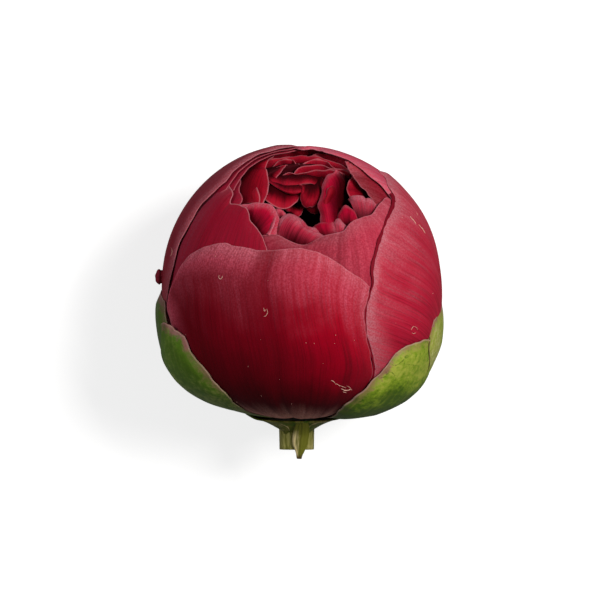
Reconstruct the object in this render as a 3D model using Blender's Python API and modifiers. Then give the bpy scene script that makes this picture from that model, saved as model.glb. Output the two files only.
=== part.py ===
"""Peony bud, cut with a short stem and lying on its side.

The bud is a ball of overlapping guard petals round a ruffled heart, held at its base by five sepals.
The surface that it lies on is Z = 0, the cut stem points to -Y and the opening looks up to +Z and +Y.
"""

import math

import bmesh
import bpy
import numpy as np
from mathutils import Vector

MM = 0.001

# Driving sizes of the bud
BUD_RADIUS = 25.2 * MM
SHOULDER_SWELL = 1.6 * MM
SHOULDER_POLAR = math.radians(54)
SHOULDER_SPREAD = math.radians(24)
BASE_DIMPLE = 0.6 * MM
BASE_SPREAD = math.radians(20)
LEAN = math.radians(10)
PETAL_THICKNESS = 0.6 * MM
SEPAL_THICKNESS = 0.8 * MM
CLEARANCE = 0.3 * MM
LAYER = PETAL_THICKNESS + CLEARANCE
SEPAL_LAYER = SEPAL_THICKNESS + CLEARANCE
FLAT_DEPTH = 0.6 * MM
REST_SHIFT = 3.5 * MM
CLAW_POLAR = 11.5
CREST_SPREAD = 0.7

# Stem and the receptacle that carries every petal and sepal
STEM_RADIUS = 3.2 * MM
STEM_CUT = 30.9 * MM
RECEPTACLE_PROFILE = [(6.2 * MM, -26.1 * MM), (4.2 * MM, -26.7 * MM), (STEM_RADIUS, -27.5 * MM)]
RIM_POLAR = math.radians(19)
SEPAL_FOOT = 21.5
BOSS_RADIUS = 3.7 * MM
BOSS_POLAR = math.radians(9)
EDGE_ROUND = 0.4 * MM
STEM_SIDES = 20

# Points closer than this are one point
MERGE = 0.0000005

# The photograph's scale: where a pixel lies on the bud, seen from straight above
PIXEL = 0.181 * MM
MIDDLE_PIXEL = (301.5, 282.0)
SEAM_GAP = 3.0

AXIS = Vector((0, math.cos(LEAN), math.sin(LEAN)))
FRONT = Vector((0, -math.sin(LEAN), math.cos(LEAN)))
RIGHT = Vector((1, 0, 0))


def shell_radius(toward, depth):
    """Distance from the bud's middle to the shell that lies depth below the outermost petals."""
    polar = math.acos(max(-1.0, min(1.0, -toward.dot(AXIS))))
    swell = SHOULDER_SWELL * math.exp(-(((polar - SHOULDER_POLAR) / SHOULDER_SPREAD) ** 2))
    dimple = BASE_DIMPLE * math.exp(-((polar / BASE_SPREAD) ** 2))
    return BUD_RADIUS + swell - dimple - depth


def heading(azimuth, polar):
    """Direction by angles in degrees: azimuth from the viewer's side to the right, polar from the stem."""
    a = math.radians(azimuth)
    p = math.radians(polar)
    around = RIGHT * math.sin(a) + FRONT * math.cos(a)
    return AXIS * -math.cos(p) + around * math.sin(p)


def resting_height():
    """Height of the bud's middle, so that the back sepal is flat where it meets the surface."""
    drops = []
    for polar in range(40, 110):
        toward = heading(180, polar)
        drops.append(shell_radius(toward, -SEPAL_LAYER) * -toward.z)
    return max(drops) - FLAT_DEPTH


MIDDLE = Vector((0, REST_SHIFT, resting_height()))


def on_shell(toward, depth):
    """The point of a shell in one direction, pressed flat where the bud rests."""
    point = MIDDLE + toward * shell_radius(toward, depth)
    point.z = max(point.z, depth + SEPAL_LAYER)
    return point


def seen(*pixels):
    """Margin points that show in the photograph."""
    return [("seen", u, v) for u, v in pixels]


def hidden(*angles):
    """Margin points by azimuth and polar angle, where the photograph doesn't reach."""
    return [("hidden", azimuth, polar) for azimuth, polar in angles]


def moved(points, across):
    """Margin points moved sideways in the photograph."""
    return [(kind, u + across, v) if kind == "seen" else (kind, u, v) for kind, u, v in points]


def margin_direction(point, depth):
    """Direction from the middle to a margin point on its shell."""
    kind, first, second = point
    if kind == "hidden":
        return heading(first, second)
    x = (first - MIDDLE_PIXEL[0]) * PIXEL
    y = (MIDDLE_PIXEL[1] - second) * PIXEL
    radius = BUD_RADIUS - depth
    for _ in range(8):
        toward = Vector((x, y, math.sqrt(max(radius**2 - x**2 - y**2, 0)))).normalized()
        radius = shell_radius(toward, depth)
    return toward


def smooth_line(points, count, spread=0.0):
    """Count points, evenly spaced, on a Catmull-Rom curve through the given ones.

    Spread also counts the turn about the bud's axis as length, for margins that cross the bud's tip.
    """
    given = np.array([tuple(p) for p in points], float)
    ends = np.vstack([2 * given[0] - given[1], given, 2 * given[-1] - given[-2]])
    fine = []
    for i in range(len(given) - 1):
        a, b, c, d = ends[i : i + 4]
        for step in range(12):
            t = step / 12
            fine.append(
                0.5
                * (2 * b + (c - a) * t + (2 * a - 5 * b + 4 * c - d) * t**2 + (3 * b - a - 3 * c + d) * t**3)
            )
    fine.append(given[-1])
    fine = np.array(fine)
    measured = fine.copy()
    if spread:
        around = fine - np.outer(fine @ np.array(AXIS), np.array(AXIS))
        measured += spread * around / np.maximum(np.linalg.norm(around, axis=1, keepdims=True), 0.001)
    along = np.concatenate([[0], np.cumsum(np.linalg.norm(np.diff(measured, axis=0), axis=1))])
    places = np.linspace(0, along[-1], count)
    return [Vector([np.interp(p, along, fine[:, k]) for k in range(3)]) for p in places]


def great_circle(start, end, share):
    """Direction at a share of the way between two directions."""
    angle = start.angle(end)
    if angle < 1e-6:
        return start.copy()
    return (start * math.sin((1 - share) * angle) + end * math.sin(share * angle)) / math.sin(angle)


def material(name, colour, roughness):
    """A plain surface colour, as red, green and blue shares."""
    made = bpy.data.materials.get(name) or bpy.data.materials.new(name)
    made.use_nodes = True
    surface = made.node_tree.nodes["Principled BSDF"]
    surface.inputs["Base Color"].default_value = (*colour, 1)
    surface.inputs["Roughness"].default_value = roughness
    surface.inputs["Metallic"].default_value = 0
    return made


def bent_grid(name, columns, rows, place):
    """An open sheet of triangles: a grid whose points are put where place(across, up) says."""
    mesh = bpy.data.meshes.new(name)
    bm = bmesh.new()
    bmesh.ops.create_grid(bm, x_segments=columns - 1, y_segments=rows - 1, size=0.5)
    bmesh.ops.triangulate(bm, faces=bm.faces, quad_method="FIXED")
    for vertex in bm.verts:
        vertex.co = place(vertex.co.x + 0.5, vertex.co.y + 0.5)
    bm.normal_update()
    bm.to_mesh(mesh)
    bm.free()
    mesh.shade_smooth()
    return mesh


def thicken(part, thickness, offset):
    """Gives an open sheet its thickness, inwards at offset -1 and to both sides at 0."""
    solid = part.modifiers.new("Thickness", "SOLIDIFY")
    solid.thickness = thickness
    solid.offset = offset


def put_in(collection, name, mesh, surface):
    """A named object in a collection, with its material."""
    part = bpy.data.objects.new(name, mesh)
    mesh.materials.append(surface)
    collection.objects.link(part)
    return part


def shell_blade(name, left, top, right, claw, foot, depths, size, turn=(0.0, 1.0)):
    """The open sheet of a petal or sepal, between its claw at the base, its two sides and its top margin.

    The sides run up from the claw and the top runs from left to right, seen from outside. Claw is the
    azimuth of its two base corners and foot their polar angle. The sheet passes from the left one of its
    depths to the right one between the two shares of its width in turn.
    """
    columns, rows = size
    middle_depth = sum(depths) / 2
    feet = [heading(claw[0] + (claw[1] - claw[0]) * c / (columns - 1), foot) for c in range(columns)]
    crest = smooth_line([margin_direction(p, middle_depth) for p in top], columns, CREST_SPREAD)
    crest = [c.normalized() for c in crest]
    sides = []
    for side, corner, depth in ((left, 0, depths[0]), (right, -1, depths[1])):
        run = [feet[corner], *(margin_direction(p, depth) for p in side), crest[corner]]
        sides.append([p.normalized() for p in smooth_line(run, rows)])

    def place(across, up):
        column = round(across * (columns - 1))
        row = round(up * (rows - 1))
        toward = great_circle(feet[column], crest[column], up)
        toward += (sides[0][row] - great_circle(feet[0], crest[0], up)) * (1 - across)
        toward += (sides[1][row] - great_circle(feet[-1], crest[-1], up)) * across
        share = max(0.0, min(1.0, (across - turn[0]) / (turn[1] - turn[0])))
        depth = depths[0] + (depths[1] - depths[0]) * share
        return on_shell(toward.normalized(), depth)

    return bent_grid(name, columns, rows, place)


# Seams between the outermost petals, from the base upwards
LEFT_SEAM = seen((170, 325), (166, 312), (166.5, 303), (168.5, 290))
RIGHT_SEAM = seen((374, 372), (370.5, 352), (367, 336), (365.3, 320), (365.6, 308), (369, 297))

OUTER_PETALS = {
    "petal_front": dict(
        left=hidden((-66, 32), (-68, 52)) + moved(LEFT_SEAM[:3], SEAM_GAP),
        top=seen((172, 288), (177, 277), (187, 260), (205, 248), (225, 243.5), (240, 248), (266, 251), (290, 249))
        + seen((310, 251), (332, 260), (347, 271), (361, 280), (368.5, 287)),
        right=hidden((30, 32), (30, 52)) + moved(RIGHT_SEAM, -SEAM_GAP),
        claw=(-56, 22),
        depths=(0, 0),
        size=(19, 14),
    ),
    "petal_right": dict(
        left=hidden((38, 32), (36, 52))
        + RIGHT_SEAM
        + seen((373, 284), (372, 272)),
        top=seen((374, 260), (381, 238), (388, 219), (394, 205), (394, 197), (388, 187), (385, 178), (378.5, 171))
        + hidden((104, 152), (118, 143)),
        right=hidden((134, 32), (136, 60), (134, 95), (128, 122)),
        claw=(42, 122),
        depths=(0, 0),
        size=(14, 18),
    ),
    "petal_back": dict(
        left=hidden((140, 32), (142, 60), (141, 95), (138, 122)),
        top=hidden((142, 138), (158, 148), (175, 149), (190, 145), (201, 136)),
        right=hidden((210, 32), (211, 60), (212, 95), (208, 122)),
        claw=(148, 202),
        depths=(0, 0),
        size=(9, 17),
    ),
    "petal_left": dict(
        left=hidden((217, 32), (218, 60), (219, 95), (217, 120), (212, 140)),
        top=hidden((207, 155), (228, 166))
        + seen((285, 146), (270, 150), (262, 153), (252, 158.5), (238, 168.5), (226, 182)),
        right=hidden((-75, 32), (-76, 52))
        + LEFT_SEAM
        + seen((172.5, 273), (180, 244), (188, 228), (198.5, 210), (212, 195)),
        claw=(228, 280),
        depths=(0, 0),
        size=(13, 20),
    ),
    "petal_front_left": dict(
        left=hidden((-116, 34), (-112, 80), (-106, 118)),
        top=hidden((-100, 136))
        + seen((216, 192), (228.6, 183.8), (231.5, 190), (233.5, 196), (231, 204), (240, 207))
        + seen((247.5, 208.5), (254, 222), (261, 235), (267.5, 250)),
        right=hidden((-30, 34), (-22, 60), (-15, 92)),
        claw=(-100, -45),
        depths=(LAYER, LAYER),
        size=(15, 16),
    ),
    "petal_back_rim": dict(
        left=hidden((78, 34), (72, 80), (68, 116)),
        top=seen((392, 208), (390, 198), (382, 187), (372, 179), (358, 167), (345, 158.5), (329, 153.5))
        + seen((316, 149.5))
        + hidden((165, 170), (198, 164), (226, 155)),
        right=hidden((208, 34), (214, 80), (222, 120)),
        claw=(92, 196),
        depths=(LAYER, LAYER),
        size=(19, 18),
    ),
    "petal_front_right": dict(
        left=hidden((-46, 34), (-42, 80), (-34, 112)),
        top=seen((263, 235), (277, 235), (288, 240), (304, 244), (325, 237), (341, 232.5), (349, 224.5))
        + seen((360, 220), (369, 217), (376, 207), (384, 200.5), (389.5, 204)),
        right=hidden((70, 34), (74, 80), (72, 112)),
        claw=(-34, 62),
        depths=(2 * LAYER, 2 * LAYER),
        size=(18, 15),
    ),
    "petal_left_inner": dict(
        left=hidden((-112, 34), (-110, 90), (-107, 128)),
        top=hidden((-104, 142)) + seen((232, 177), (236, 178), (241, 183), (240, 191), (243, 200), (240, 207)),
        right=hidden((-66, 34), (-60, 80), (-56, 114)),
        claw=(-104, -74),
        depths=(2 * LAYER, 2 * LAYER),
        size=(9, 17),
    ),
    "petal_left_rim": dict(
        left=hidden((166, 34), (167, 80), (167, 120)),
        top=hidden((168, 140), (174, 158))
        + seen((302, 155), (290, 155.5), (276, 156.5), (262, 163), (252, 172), (247, 178), (243, 188)),
        right=hidden((-80, 34), (-72, 80), (-64, 118)),
        claw=(174, 260),
        depths=(2 * LAYER, 3 * LAYER),
        size=(15, 19),
        turn=(0.0, 0.5),
    ),
    "petal_right_rim": dict(
        left=hidden((58, 34), (56, 80), (60, 118)),
        top=seen((376, 206), (370.5, 198), (366, 191), (358, 183), (351.5, 174.5), (347, 167.5), (344.5, 163)),
        right=hidden((140, 34), (143, 80), (143, 110), (134, 142)),
        claw=(70, 128),
        depths=(3 * LAYER, 2 * LAYER),
        size=(11, 18),
        turn=(0.3, 1.0),
    ),
}

SEPALS = {
    "sepal_left": dict(
        left=hidden((-116, 32), (-117, 48), (-108, 58)) + seen((161.5, 345), (162, 333)),
        top=seen((164.5, 321), (168, 319), (174, 325), (182, 335)),
        right=seen((250, 412.5), (243, 407), (230, 395), (214, 376.5), (199, 356)),
        claw=(-108, -38),
        depths=(-2 * SEPAL_LAYER, -SEPAL_LAYER),
        size=(12, 9),
        turn=(0.5, 1.0),
    ),
    "sepal_right": dict(
        left=seen((341, 415), (355, 401), (368, 383), (378, 371), (394, 355)),
        top=seen((405, 344.5), (417, 339.5), (425, 337), (428, 341)),
        right=hidden((100, 32), (98, 44)) + seen((428, 371), (428.6, 355)),
        claw=(36, 90),
        depths=(-SEPAL_LAYER, -2 * SEPAL_LAYER),
        size=(12, 9),
        turn=(0.0, 0.5),
    ),
    "sepal_left_outer": dict(
        left=hidden((-150, 32), (-154, 55), (-148, 72)),
        top=hidden((-138, 84), (-120, 89)) + seen((160, 292), (164, 300)),
        right=hidden((-76, 32), (-72, 52)) + seen((168, 330), (165.5, 314)),
        claw=(-142, -84),
        depths=(-SEPAL_LAYER, -SEPAL_LAYER),
        size=(11, 9),
    ),
    "sepal_right_outer": dict(
        left=hidden((68, 32), (58, 56)) + seen((428, 334)),
        top=seen((434, 320), (442, 307)) + hidden((112, 90), (130, 82)),
        right=hidden((138, 32), (142, 58), (140, 70)),
        claw=(78, 130),
        depths=(-SEPAL_LAYER, -SEPAL_LAYER),
        size=(11, 9),
    ),
    "sepal_back": dict(
        left=hidden((146, 32), (150, 58), (154, 78)),
        top=hidden((160, 91), (172, 98), (184, 99), (195, 92)),
        right=hidden((200, 32), (203, 52), (203, 72)),
        claw=(152, 194),
        depths=(-SEPAL_LAYER, -SEPAL_LAYER),
        size=(9, 12),
    ),
}


def in_view(u, v, height):
    """The point that shows at a pixel, height in mm above the bud's middle, kept inside the guard petals."""
    x = (u - MIDDLE_PIXEL[0]) * PIXEL
    y = (MIDDLE_PIXEL[1] - v) * PIXEL
    room = HEART_REACH**2 - x**2 - y**2
    z = min(height * MM, math.sqrt(room)) if room > 0 else height * MM
    return MIDDLE + Vector((x, y, z))


# Ruffled petals of the heart: rim, belly and root as pixels with a height in mm above the bud's middle
HEART_PETALS = {
    "back_high": (
        [(272, 171, 4.6), (284, 165.5, 2.6), (303, 164.5, 2.4), (312, 161, 2), (328, 163, 2.4), (342, 168, 4)],
        [(276, 182, 2.6), (305, 176, 0.4), (338, 180, 2)],
        [(284, 205, -1), (306, 205, -3), (330, 205, -1)],
    ),
    "back_middle": (
        [(299, 170, 6), (308, 166, 5.8), (319, 165.5, 5.6), (330, 168, 5.8), (343, 171, 6.4)],
        [(302, 182, 3.2), (320, 180, 2.6), (340, 183, 3.4)],
        [(304, 206, 0), (318, 206, -1), (334, 206, 0)],
    ),
    "back_low": (
        [(284, 175, 8), (300, 175, 7.6), (310, 173, 7.4), (320, 172, 7.4), (330, 171.5, 7.6)],
        [(286, 188, 5), (306, 186, 4.6), (328, 186, 4.8)],
        [(290, 210, 1.5), (308, 210, 1), (324, 210, 1.5)],
    ),
    "left_upright": (
        [(274, 165.5, 2.4), (268.5, 170, 5.4), (268.5, 175, 10), (269.5, 184, 11.4), (268, 194, 12.6), (264, 203, 14)],
        [(266, 172, 5.4), (259, 184, 9.8), (254, 198, 13)],
        [(261, 184, 2.4), (250, 196, 6), (246, 212, 10)],
    ),
    "left_fold": (
        [(251, 177, 8.6), (254, 184, 10.4), (259, 192, 12.4), (260.5, 201, 13.8)],
        [(250, 183, 8.6), (251, 191, 10.8), (253, 204, 13)],
        [(249, 190, 5.6), (249, 198, 7.6), (251, 212, 10.4)],
    ),
    "left_cup": (
        [(245, 207, 15.4), (262, 204.5, 16.6), (273, 207, 17.4), (278, 214, 18), (281, 223, 18.6), (277, 234, 19.4)],
        [(250, 214, 16.4), (262, 218, 18), (267, 232, 19.2)],
        [(246, 226, 14.6), (256, 234, 16.4), (264, 246, 17.4)],
    ),
    "left_drape": (
        [(273, 185, 10.4), (283, 193, 11.8), (294, 195.5, 12.4), (303, 194.5, 12.2)],
        [(277, 182, 8.4), (288, 183, 9.2), (304, 184, 9)],
        [(276, 184, 1), (288, 184, 0.6), (302, 186, 0.4)],
    ),
    "left_lower": (
        [(270, 203, 13.8), (281, 208, 14.2), (290.5, 209, 13.8), (295, 205, 13.2), (300, 199.5, 12.6)],
        [(272, 196, 9.6), (284, 198, 9.4), (295, 196, 9)],
        [(270, 206, 2.6), (284, 208, 1.4), (294, 208, 0.8)],
    ),
    "hanging_lobe": (
        [(301, 200, 13), (302.5, 205, 14), (306, 208.8, 14.6), (312, 208, 14.4), (317, 200, 13.2)],
        [(304, 192, 10.6), (309, 192, 11.4), (316, 190, 10.6)],
        [(304, 198, 2), (310, 198, 1), (318, 198, 2)],
    ),
    "centre_upright": (
        [(319.5, 219, 15), (320, 205, 14.4), (320.5, 192, 12.8), (325.5, 178, 11), (334.5, 170.5, 10)],
        [(331, 221, 16.4), (332, 208, 15.6), (333, 195, 13.8), (336, 183, 11.8), (338, 172.5, 10)],
        [(344, 226, 8), (346, 212, 7.4), (347, 198, 6.6), (346, 186, 6), (341, 176, 6.6)],
    ),
    "right_dark": (
        [(350.5, 180.5, 9.4), (346.5, 187, 10.8), (348, 193, 11.8), (350, 198.5, 12.6)],
        [(358, 184, 9.4), (357, 191, 11), (360, 200, 12.4)],
        [(363, 189, 5), (366, 198, 6.6), (370, 207, 8)],
    ),
    "right_pale": (
        [(350, 199, 14), (356, 197.5, 14.6), (363, 198.6, 14.6), (370, 200.5, 14), (377, 206, 13.2)],
        [(355, 212, 15.6), (362, 212, 16), (373, 214, 15)],
        [(362, 236, 12.6), (368, 232, 12.4), (378, 230, 11.4)],
    ),
    "front_tuck": (
        [(336.5, 218, 15.2), (341, 211.5, 15.4), (345, 206.8, 15.2), (351, 209.5, 15.2), (359, 219, 15.8)],
        [(339, 222, 16.6), (346, 219, 16.6), (356, 224, 16.8)],
        [(342, 240, 13.6), (350, 240, 13.6), (358, 240, 13.4)],
    ),
    "front_roll_left": (
        [(283, 219, 17.6), (290, 216, 17), (298, 216.2, 16.6), (303, 223, 16.8), (312, 229.5, 17.6), (325, 236, 18.8)],
        [(280, 230, 19.6), (291, 227, 20), (299, 230, 20), (308, 236, 20), (318, 242, 20)],
        [(276, 246, 17.4), (290, 248, 17.6), (302, 250, 17.8), (314, 252, 17.6)],
    ),
    "front_roll_right": (
        [(312, 228.5, 16.4), (320, 224.2, 16.2), (331, 223.4, 16.4), (338, 221.5, 16.6), (343, 225, 17)],
        [(318, 234, 18.4), (330, 230, 18.6), (340, 230, 18.4)],
        [(320, 248, 16.6), (332, 246, 16.6), (344, 244, 16.4)],
    ),
}

HEART_ROWS = 6
CORE_DEPTH = 4 * LAYER
HEART_REACH = 21.1 * MM
BOWL_CENTRE = (310.0, 205.0, 13.5)
BOWL_RADIUS = 11.6 * MM

LOBE_CENTRE = (159.5, 277.0, 1.0)
LOBE_HALF_SIZE = (0.9 * MM, 1.45 * MM, 1.2 * MM)


def ruffled_sheet(name, rows_given, columns, rows):
    """A thin petal swept from its rim over its belly to its root."""
    lines = [smooth_line([in_view(*p) for p in row], columns) for row in rows_given]

    def place(across, up):
        column = round(across * (columns - 1))
        rim, belly, root = (line[column] for line in lines)
        down = 1 - up
        return rim * (1 - down) ** 2 + (belly * 2 - (rim + root) / 2) * 2 * down * (1 - down) + root * down**2

    return bent_grid(name, columns, rows, place)


def evaluated_mesh(part):
    """The mesh of an object with its modifiers."""
    return bpy.data.meshes.new_from_object(part.evaluated_get(bpy.context.evaluated_depsgraph_get()))


def one_body(mesh):
    """Keeps the largest closed body: fills sealed hollows and drops loose scraps."""
    bm = bmesh.new()
    bm.from_mesh(mesh)
    bmesh.ops.remove_doubles(bm, verts=bm.verts, dist=MERGE)
    left = set(bm.verts)
    bodies = []
    while left:
        reached = {left.pop()}
        front = list(reached)
        while front:
            for edge in front.pop().link_edges:
                for vertex in edge.verts:
                    if vertex in left:
                        left.remove(vertex)
                        reached.add(vertex)
                        front.append(vertex)
        bodies.append(reached)
    bodies.sort(key=len)
    for scrap in bodies[:-1]:
        bmesh.ops.delete(bm, geom=list(scrap), context="VERTS")
    bm.to_mesh(mesh)
    bm.free()


def ball(name, across, up, place):
    """A closed ball of facets, whose points are put where place(direction) says."""
    mesh = bpy.data.meshes.new(name)
    bm = bmesh.new()
    bmesh.ops.create_uvsphere(bm, u_segments=across, v_segments=up, radius=1)
    for vertex in bm.verts:
        vertex.co = place(vertex.co.normalized())
    bm.to_mesh(mesh)
    bm.free()
    mesh.shade_smooth()
    return mesh


def as_tool(tools, name, mesh):
    """An object of the working collection, not drawn."""
    tool = bpy.data.objects.new(name, mesh)
    tools.objects.link(tool)
    tool.hide_render = True
    tool.display_type = "WIRE"
    return tool


def working_collection(name):
    """A collection that holds the pieces of one body until they are joined."""
    tools = bpy.data.collections.new(name)
    bpy.context.scene.collection.children.link(tools)
    return tools


def fuse(part, tools):
    """Joins a working collection's pieces to a part in one union and removes the collection."""
    surface = part.data.materials[0]
    join = part.modifiers.new("Fuse", "BOOLEAN")
    join.operation = "UNION"
    join.operand_type = "COLLECTION"
    join.collection = tools
    join.solver = "MANIFOLD"
    part.data = evaluated_mesh(part)
    part.modifiers.clear()
    for piece in list(tools.objects):
        bpy.data.objects.remove(piece)
    bpy.data.collections.remove(tools)
    one_body(part.data)
    part.data.materials.clear()
    part.data.materials.append(surface)
    part.data.shade_smooth()


def curled_edge(petal):
    """The small curled lobe that stands out of the left petal's side."""
    tools = working_collection("lobe")
    centre = in_view(*LOBE_CENTRE)
    size = Vector(LOBE_HALF_SIZE)
    as_tool(tools, "lobe", ball("lobe", 10, 6, lambda toward: centre + toward * size))
    fuse(petal, tools)


def heart(collection, surface):
    """The ruffled inner petals, fused to the core that they grow from."""
    core = put_in(collection, "heart", ball("heart", 20, 12, lambda toward: on_shell(toward, CORE_DEPTH)), surface)
    tools = working_collection("heart_pieces")
    bowl_centre = in_view(*BOWL_CENTRE)
    bowl = as_tool(tools, "bowl", ball("bowl", 16, 10, lambda toward: bowl_centre + toward * BOWL_RADIUS))
    cut = core.modifiers.new("Bowl", "BOOLEAN")
    cut.operation = "DIFFERENCE"
    cut.object = bowl
    core.data = evaluated_mesh(core)
    core.modifiers.clear()
    bpy.data.objects.remove(bowl)

    for name, rows_given in HEART_PETALS.items():
        columns = 2 * len(rows_given[0]) + 1
        sheet = as_tool(tools, name, ruffled_sheet(name, rows_given, columns, HEART_ROWS))
        thicken(sheet, PETAL_THICKNESS, 0)
    fuse(core, tools)


def stem(collection, surface):
    """The cut stem, the receptacle's shallow cone and the boss inside the petals, turned as one piece."""
    def along_axis(polar, depth):
        reach = shell_radius(heading(0, math.degrees(polar)), depth)
        return (reach * math.sin(polar), -reach * math.cos(polar))

    top = -(BUD_RADIUS - CORE_DEPTH + CLEARANCE)
    cup = [along_axis(p, -CLEARANCE) for p in (BOSS_POLAR, (BOSS_POLAR + RIM_POLAR) / 2, RIM_POLAR)]
    profile = [
        (0, top),
        (BOSS_RADIUS - EDGE_ROUND, top),
        (BOSS_RADIUS, top - EDGE_ROUND),
        (BOSS_RADIUS, cup[0][1]),
        *cup[1:],
        along_axis(RIM_POLAR, -SEPAL_LAYER - CLEARANCE),
        *RECEPTACLE_PROFILE,
        (STEM_RADIUS, -STEM_CUT + EDGE_ROUND),
        (STEM_RADIUS - EDGE_ROUND / 2, -STEM_CUT),
        (0, -STEM_CUT),
    ]
    mesh = bpy.data.meshes.new("stem")
    bm = bmesh.new()
    corners = [bm.verts.new((radius, 0, height)) for radius, height in profile]
    for first, second in zip(corners, corners[1:]):
        bm.edges.new((first, second))
    bm.to_mesh(mesh)
    bm.free()
    part = put_in(collection, "stem", mesh, surface)
    turn = part.modifiers.new("Turn", "SCREW")
    turn.steps = STEM_SIDES
    turn.render_steps = STEM_SIDES
    turn.use_merge_vertices = True
    turn.merge_threshold = 0.01 * MM
    part.location = MIDDLE
    part.rotation_euler = AXIS.to_track_quat("Z", "Y").to_euler()
    return part


# The bract's run down the front of the receptacle and stem: distance from the axis and along it, in mm
BRACT_PATH = [(9.25, 24.4), (9.3, 25.3), (8.2, 26.1), (6.4, 26.9), (4.9, 27.5), (4.15, 28.6), (4.0, 30.0), (3.9, 31.9)]
BRACT_HALF_WIDTH = 1.5 * MM
BRACT_THICKNESS = 0.7 * MM
BRACT_KEEL = 0.4 * MM
BRACT_SIDE = 0.3 * MM


def bract(collection, surface):
    """The narrow keeled bract that hangs down in front of the stem to a point below its cut."""
    columns, rows = 5, 9
    run = [FRONT * out * MM - AXIS * down * MM - RIGHT * BRACT_SIDE for out, down in BRACT_PATH]
    line = smooth_line(run, rows)

    def place(across, up):
        row = round((1 - up) * (rows - 1))
        side = (across - 0.5) * 2
        width = BRACT_HALF_WIDTH * (1 - 0.8 * (1 - up) ** 1.5)
        keel = BRACT_KEEL * (1 - abs(side))
        return MIDDLE + line[row] + RIGHT * side * width + FRONT * keel

    mesh = bent_grid("bract", columns, rows, place)
    part = put_in(collection, "bract", mesh, surface)
    thicken(part, BRACT_THICKNESS, 0)
    return part


def main():
    for old in list(bpy.data.objects):
        bpy.data.objects.remove(old)
    collection = bpy.data.collections.new("peony_bud")
    bpy.context.scene.collection.children.link(collection)

    crimson = material("crimson_petal", (0.30, 0.01, 0.035), 0.55)
    deep_crimson = material("heart_petal", (0.36, 0.01, 0.035), 0.5)
    sepal_green = material("sepal_green", (0.16, 0.24, 0.045), 0.6)
    stem_green = material("stem_green", (0.20, 0.21, 0.06), 0.65)

    for name, shape in OUTER_PETALS.items():
        petal = put_in(collection, name, shell_blade(name, foot=CLAW_POLAR, **shape), crimson)
        thicken(petal, PETAL_THICKNESS, -1)
    for name, shape in SEPALS.items():
        sepal = put_in(collection, name, shell_blade(name, foot=SEPAL_FOOT, **shape), sepal_green)
        thicken(sepal, SEPAL_THICKNESS, -1)
    curled_edge(bpy.data.objects["petal_left"])
    heart(collection, deep_crimson)
    stem(collection, stem_green)
    bract(collection, stem_green)


main()
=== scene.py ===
"""Peony bud: finished petals, heart, sepals, stem and bract on the fixed frame, in a plain studio.

The surface that the bud lies on is Z = 0, the cut stem points to -Y and the opening looks up to +Z and +Y.
"""

import math

import bmesh
import bpy
import numpy as np
from bpy.props import FloatProperty, FloatVectorProperty, IntProperty, PointerProperty
from bpy.types import Operator, Panel, PropertyGroup
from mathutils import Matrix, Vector
from mathutils.bvhtree import BVHTree


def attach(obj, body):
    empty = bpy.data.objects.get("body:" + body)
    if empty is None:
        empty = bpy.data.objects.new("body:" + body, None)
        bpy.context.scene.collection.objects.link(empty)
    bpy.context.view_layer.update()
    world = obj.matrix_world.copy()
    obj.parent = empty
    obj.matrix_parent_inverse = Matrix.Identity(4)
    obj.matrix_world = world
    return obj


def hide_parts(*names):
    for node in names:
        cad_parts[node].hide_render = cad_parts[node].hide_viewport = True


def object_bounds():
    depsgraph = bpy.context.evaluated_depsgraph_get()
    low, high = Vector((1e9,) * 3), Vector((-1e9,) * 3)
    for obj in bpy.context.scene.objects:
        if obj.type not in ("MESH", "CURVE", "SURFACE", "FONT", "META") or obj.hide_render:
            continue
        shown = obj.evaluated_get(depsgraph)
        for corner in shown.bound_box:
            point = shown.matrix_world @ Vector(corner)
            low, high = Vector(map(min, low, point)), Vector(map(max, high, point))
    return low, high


bl_info = {
    "name": "Peony Bud",
    "version": (1, 0, 0),
    "blender": (4, 5, 0),
    "location": "3D View > Sidebar > Peony Bud",
    "description": "Dresses a cut peony bud with thin veined petals, sepals, a ruffled heart and a stem",
    "category": "Object",
}

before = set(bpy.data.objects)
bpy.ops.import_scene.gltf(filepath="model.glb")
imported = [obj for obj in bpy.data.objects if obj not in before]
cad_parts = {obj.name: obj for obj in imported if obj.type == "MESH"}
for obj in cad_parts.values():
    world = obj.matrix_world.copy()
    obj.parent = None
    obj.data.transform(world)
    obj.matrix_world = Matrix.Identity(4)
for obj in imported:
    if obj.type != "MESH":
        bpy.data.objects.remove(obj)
CAD_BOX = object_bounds()

MM = 0.001
FINE = 1.0

# The bud's shell, as in the source of its solids but with a deeper dimple at its base
BUD_RADIUS = 25.2 * MM
SHOULDER_SWELL = 1.6 * MM
SHOULDER_POLAR = math.radians(54)
SHOULDER_SPREAD = math.radians(24)
BASE_DIMPLE = 0.95 * MM
BASE_SPREAD = math.radians(20)
LEAN = math.radians(10)
LAYER = 0.9 * MM
SEPAL_LAYER = 1.1 * MM
FLAT_DEPTH = 0.6 * MM
REST_SHIFT = 3.5 * MM
STEM_CUT = 30.9 * MM

# How far from the stem the petals, the narrow rims at the left and the sepals start, in degrees
CLAW_POLAR = 11.5
RIM_FOOT = 100
SEPAL_FOOT = 18.5
# How much a crest's turn about the bud's axis counts as its length
CREST_SPREAD = 0.7

# Where a pixel of the photograph lies on the bud, seen from straight above
PIXEL = 0.181 * MM
MIDDLE_PIXEL = (301.5, 282.0)
FRAME_PIXELS = 600
# How far inside its seams the front petal's sides stay, in pixels
SEAM_GAP = 1.9

# The stem's axis towards the bud's top, the bud's front and its right
AXIS = np.array((0, math.cos(LEAN), math.sin(LEAN)))
FRONT = np.array((0, -math.sin(LEAN), math.cos(LEAN)))
RIGHT = np.array((1.0, 0, 0))


def unit(vectors):
    """Vectors of length one."""
    return vectors / np.linalg.norm(vectors, axis=-1, keepdims=True)


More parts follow.
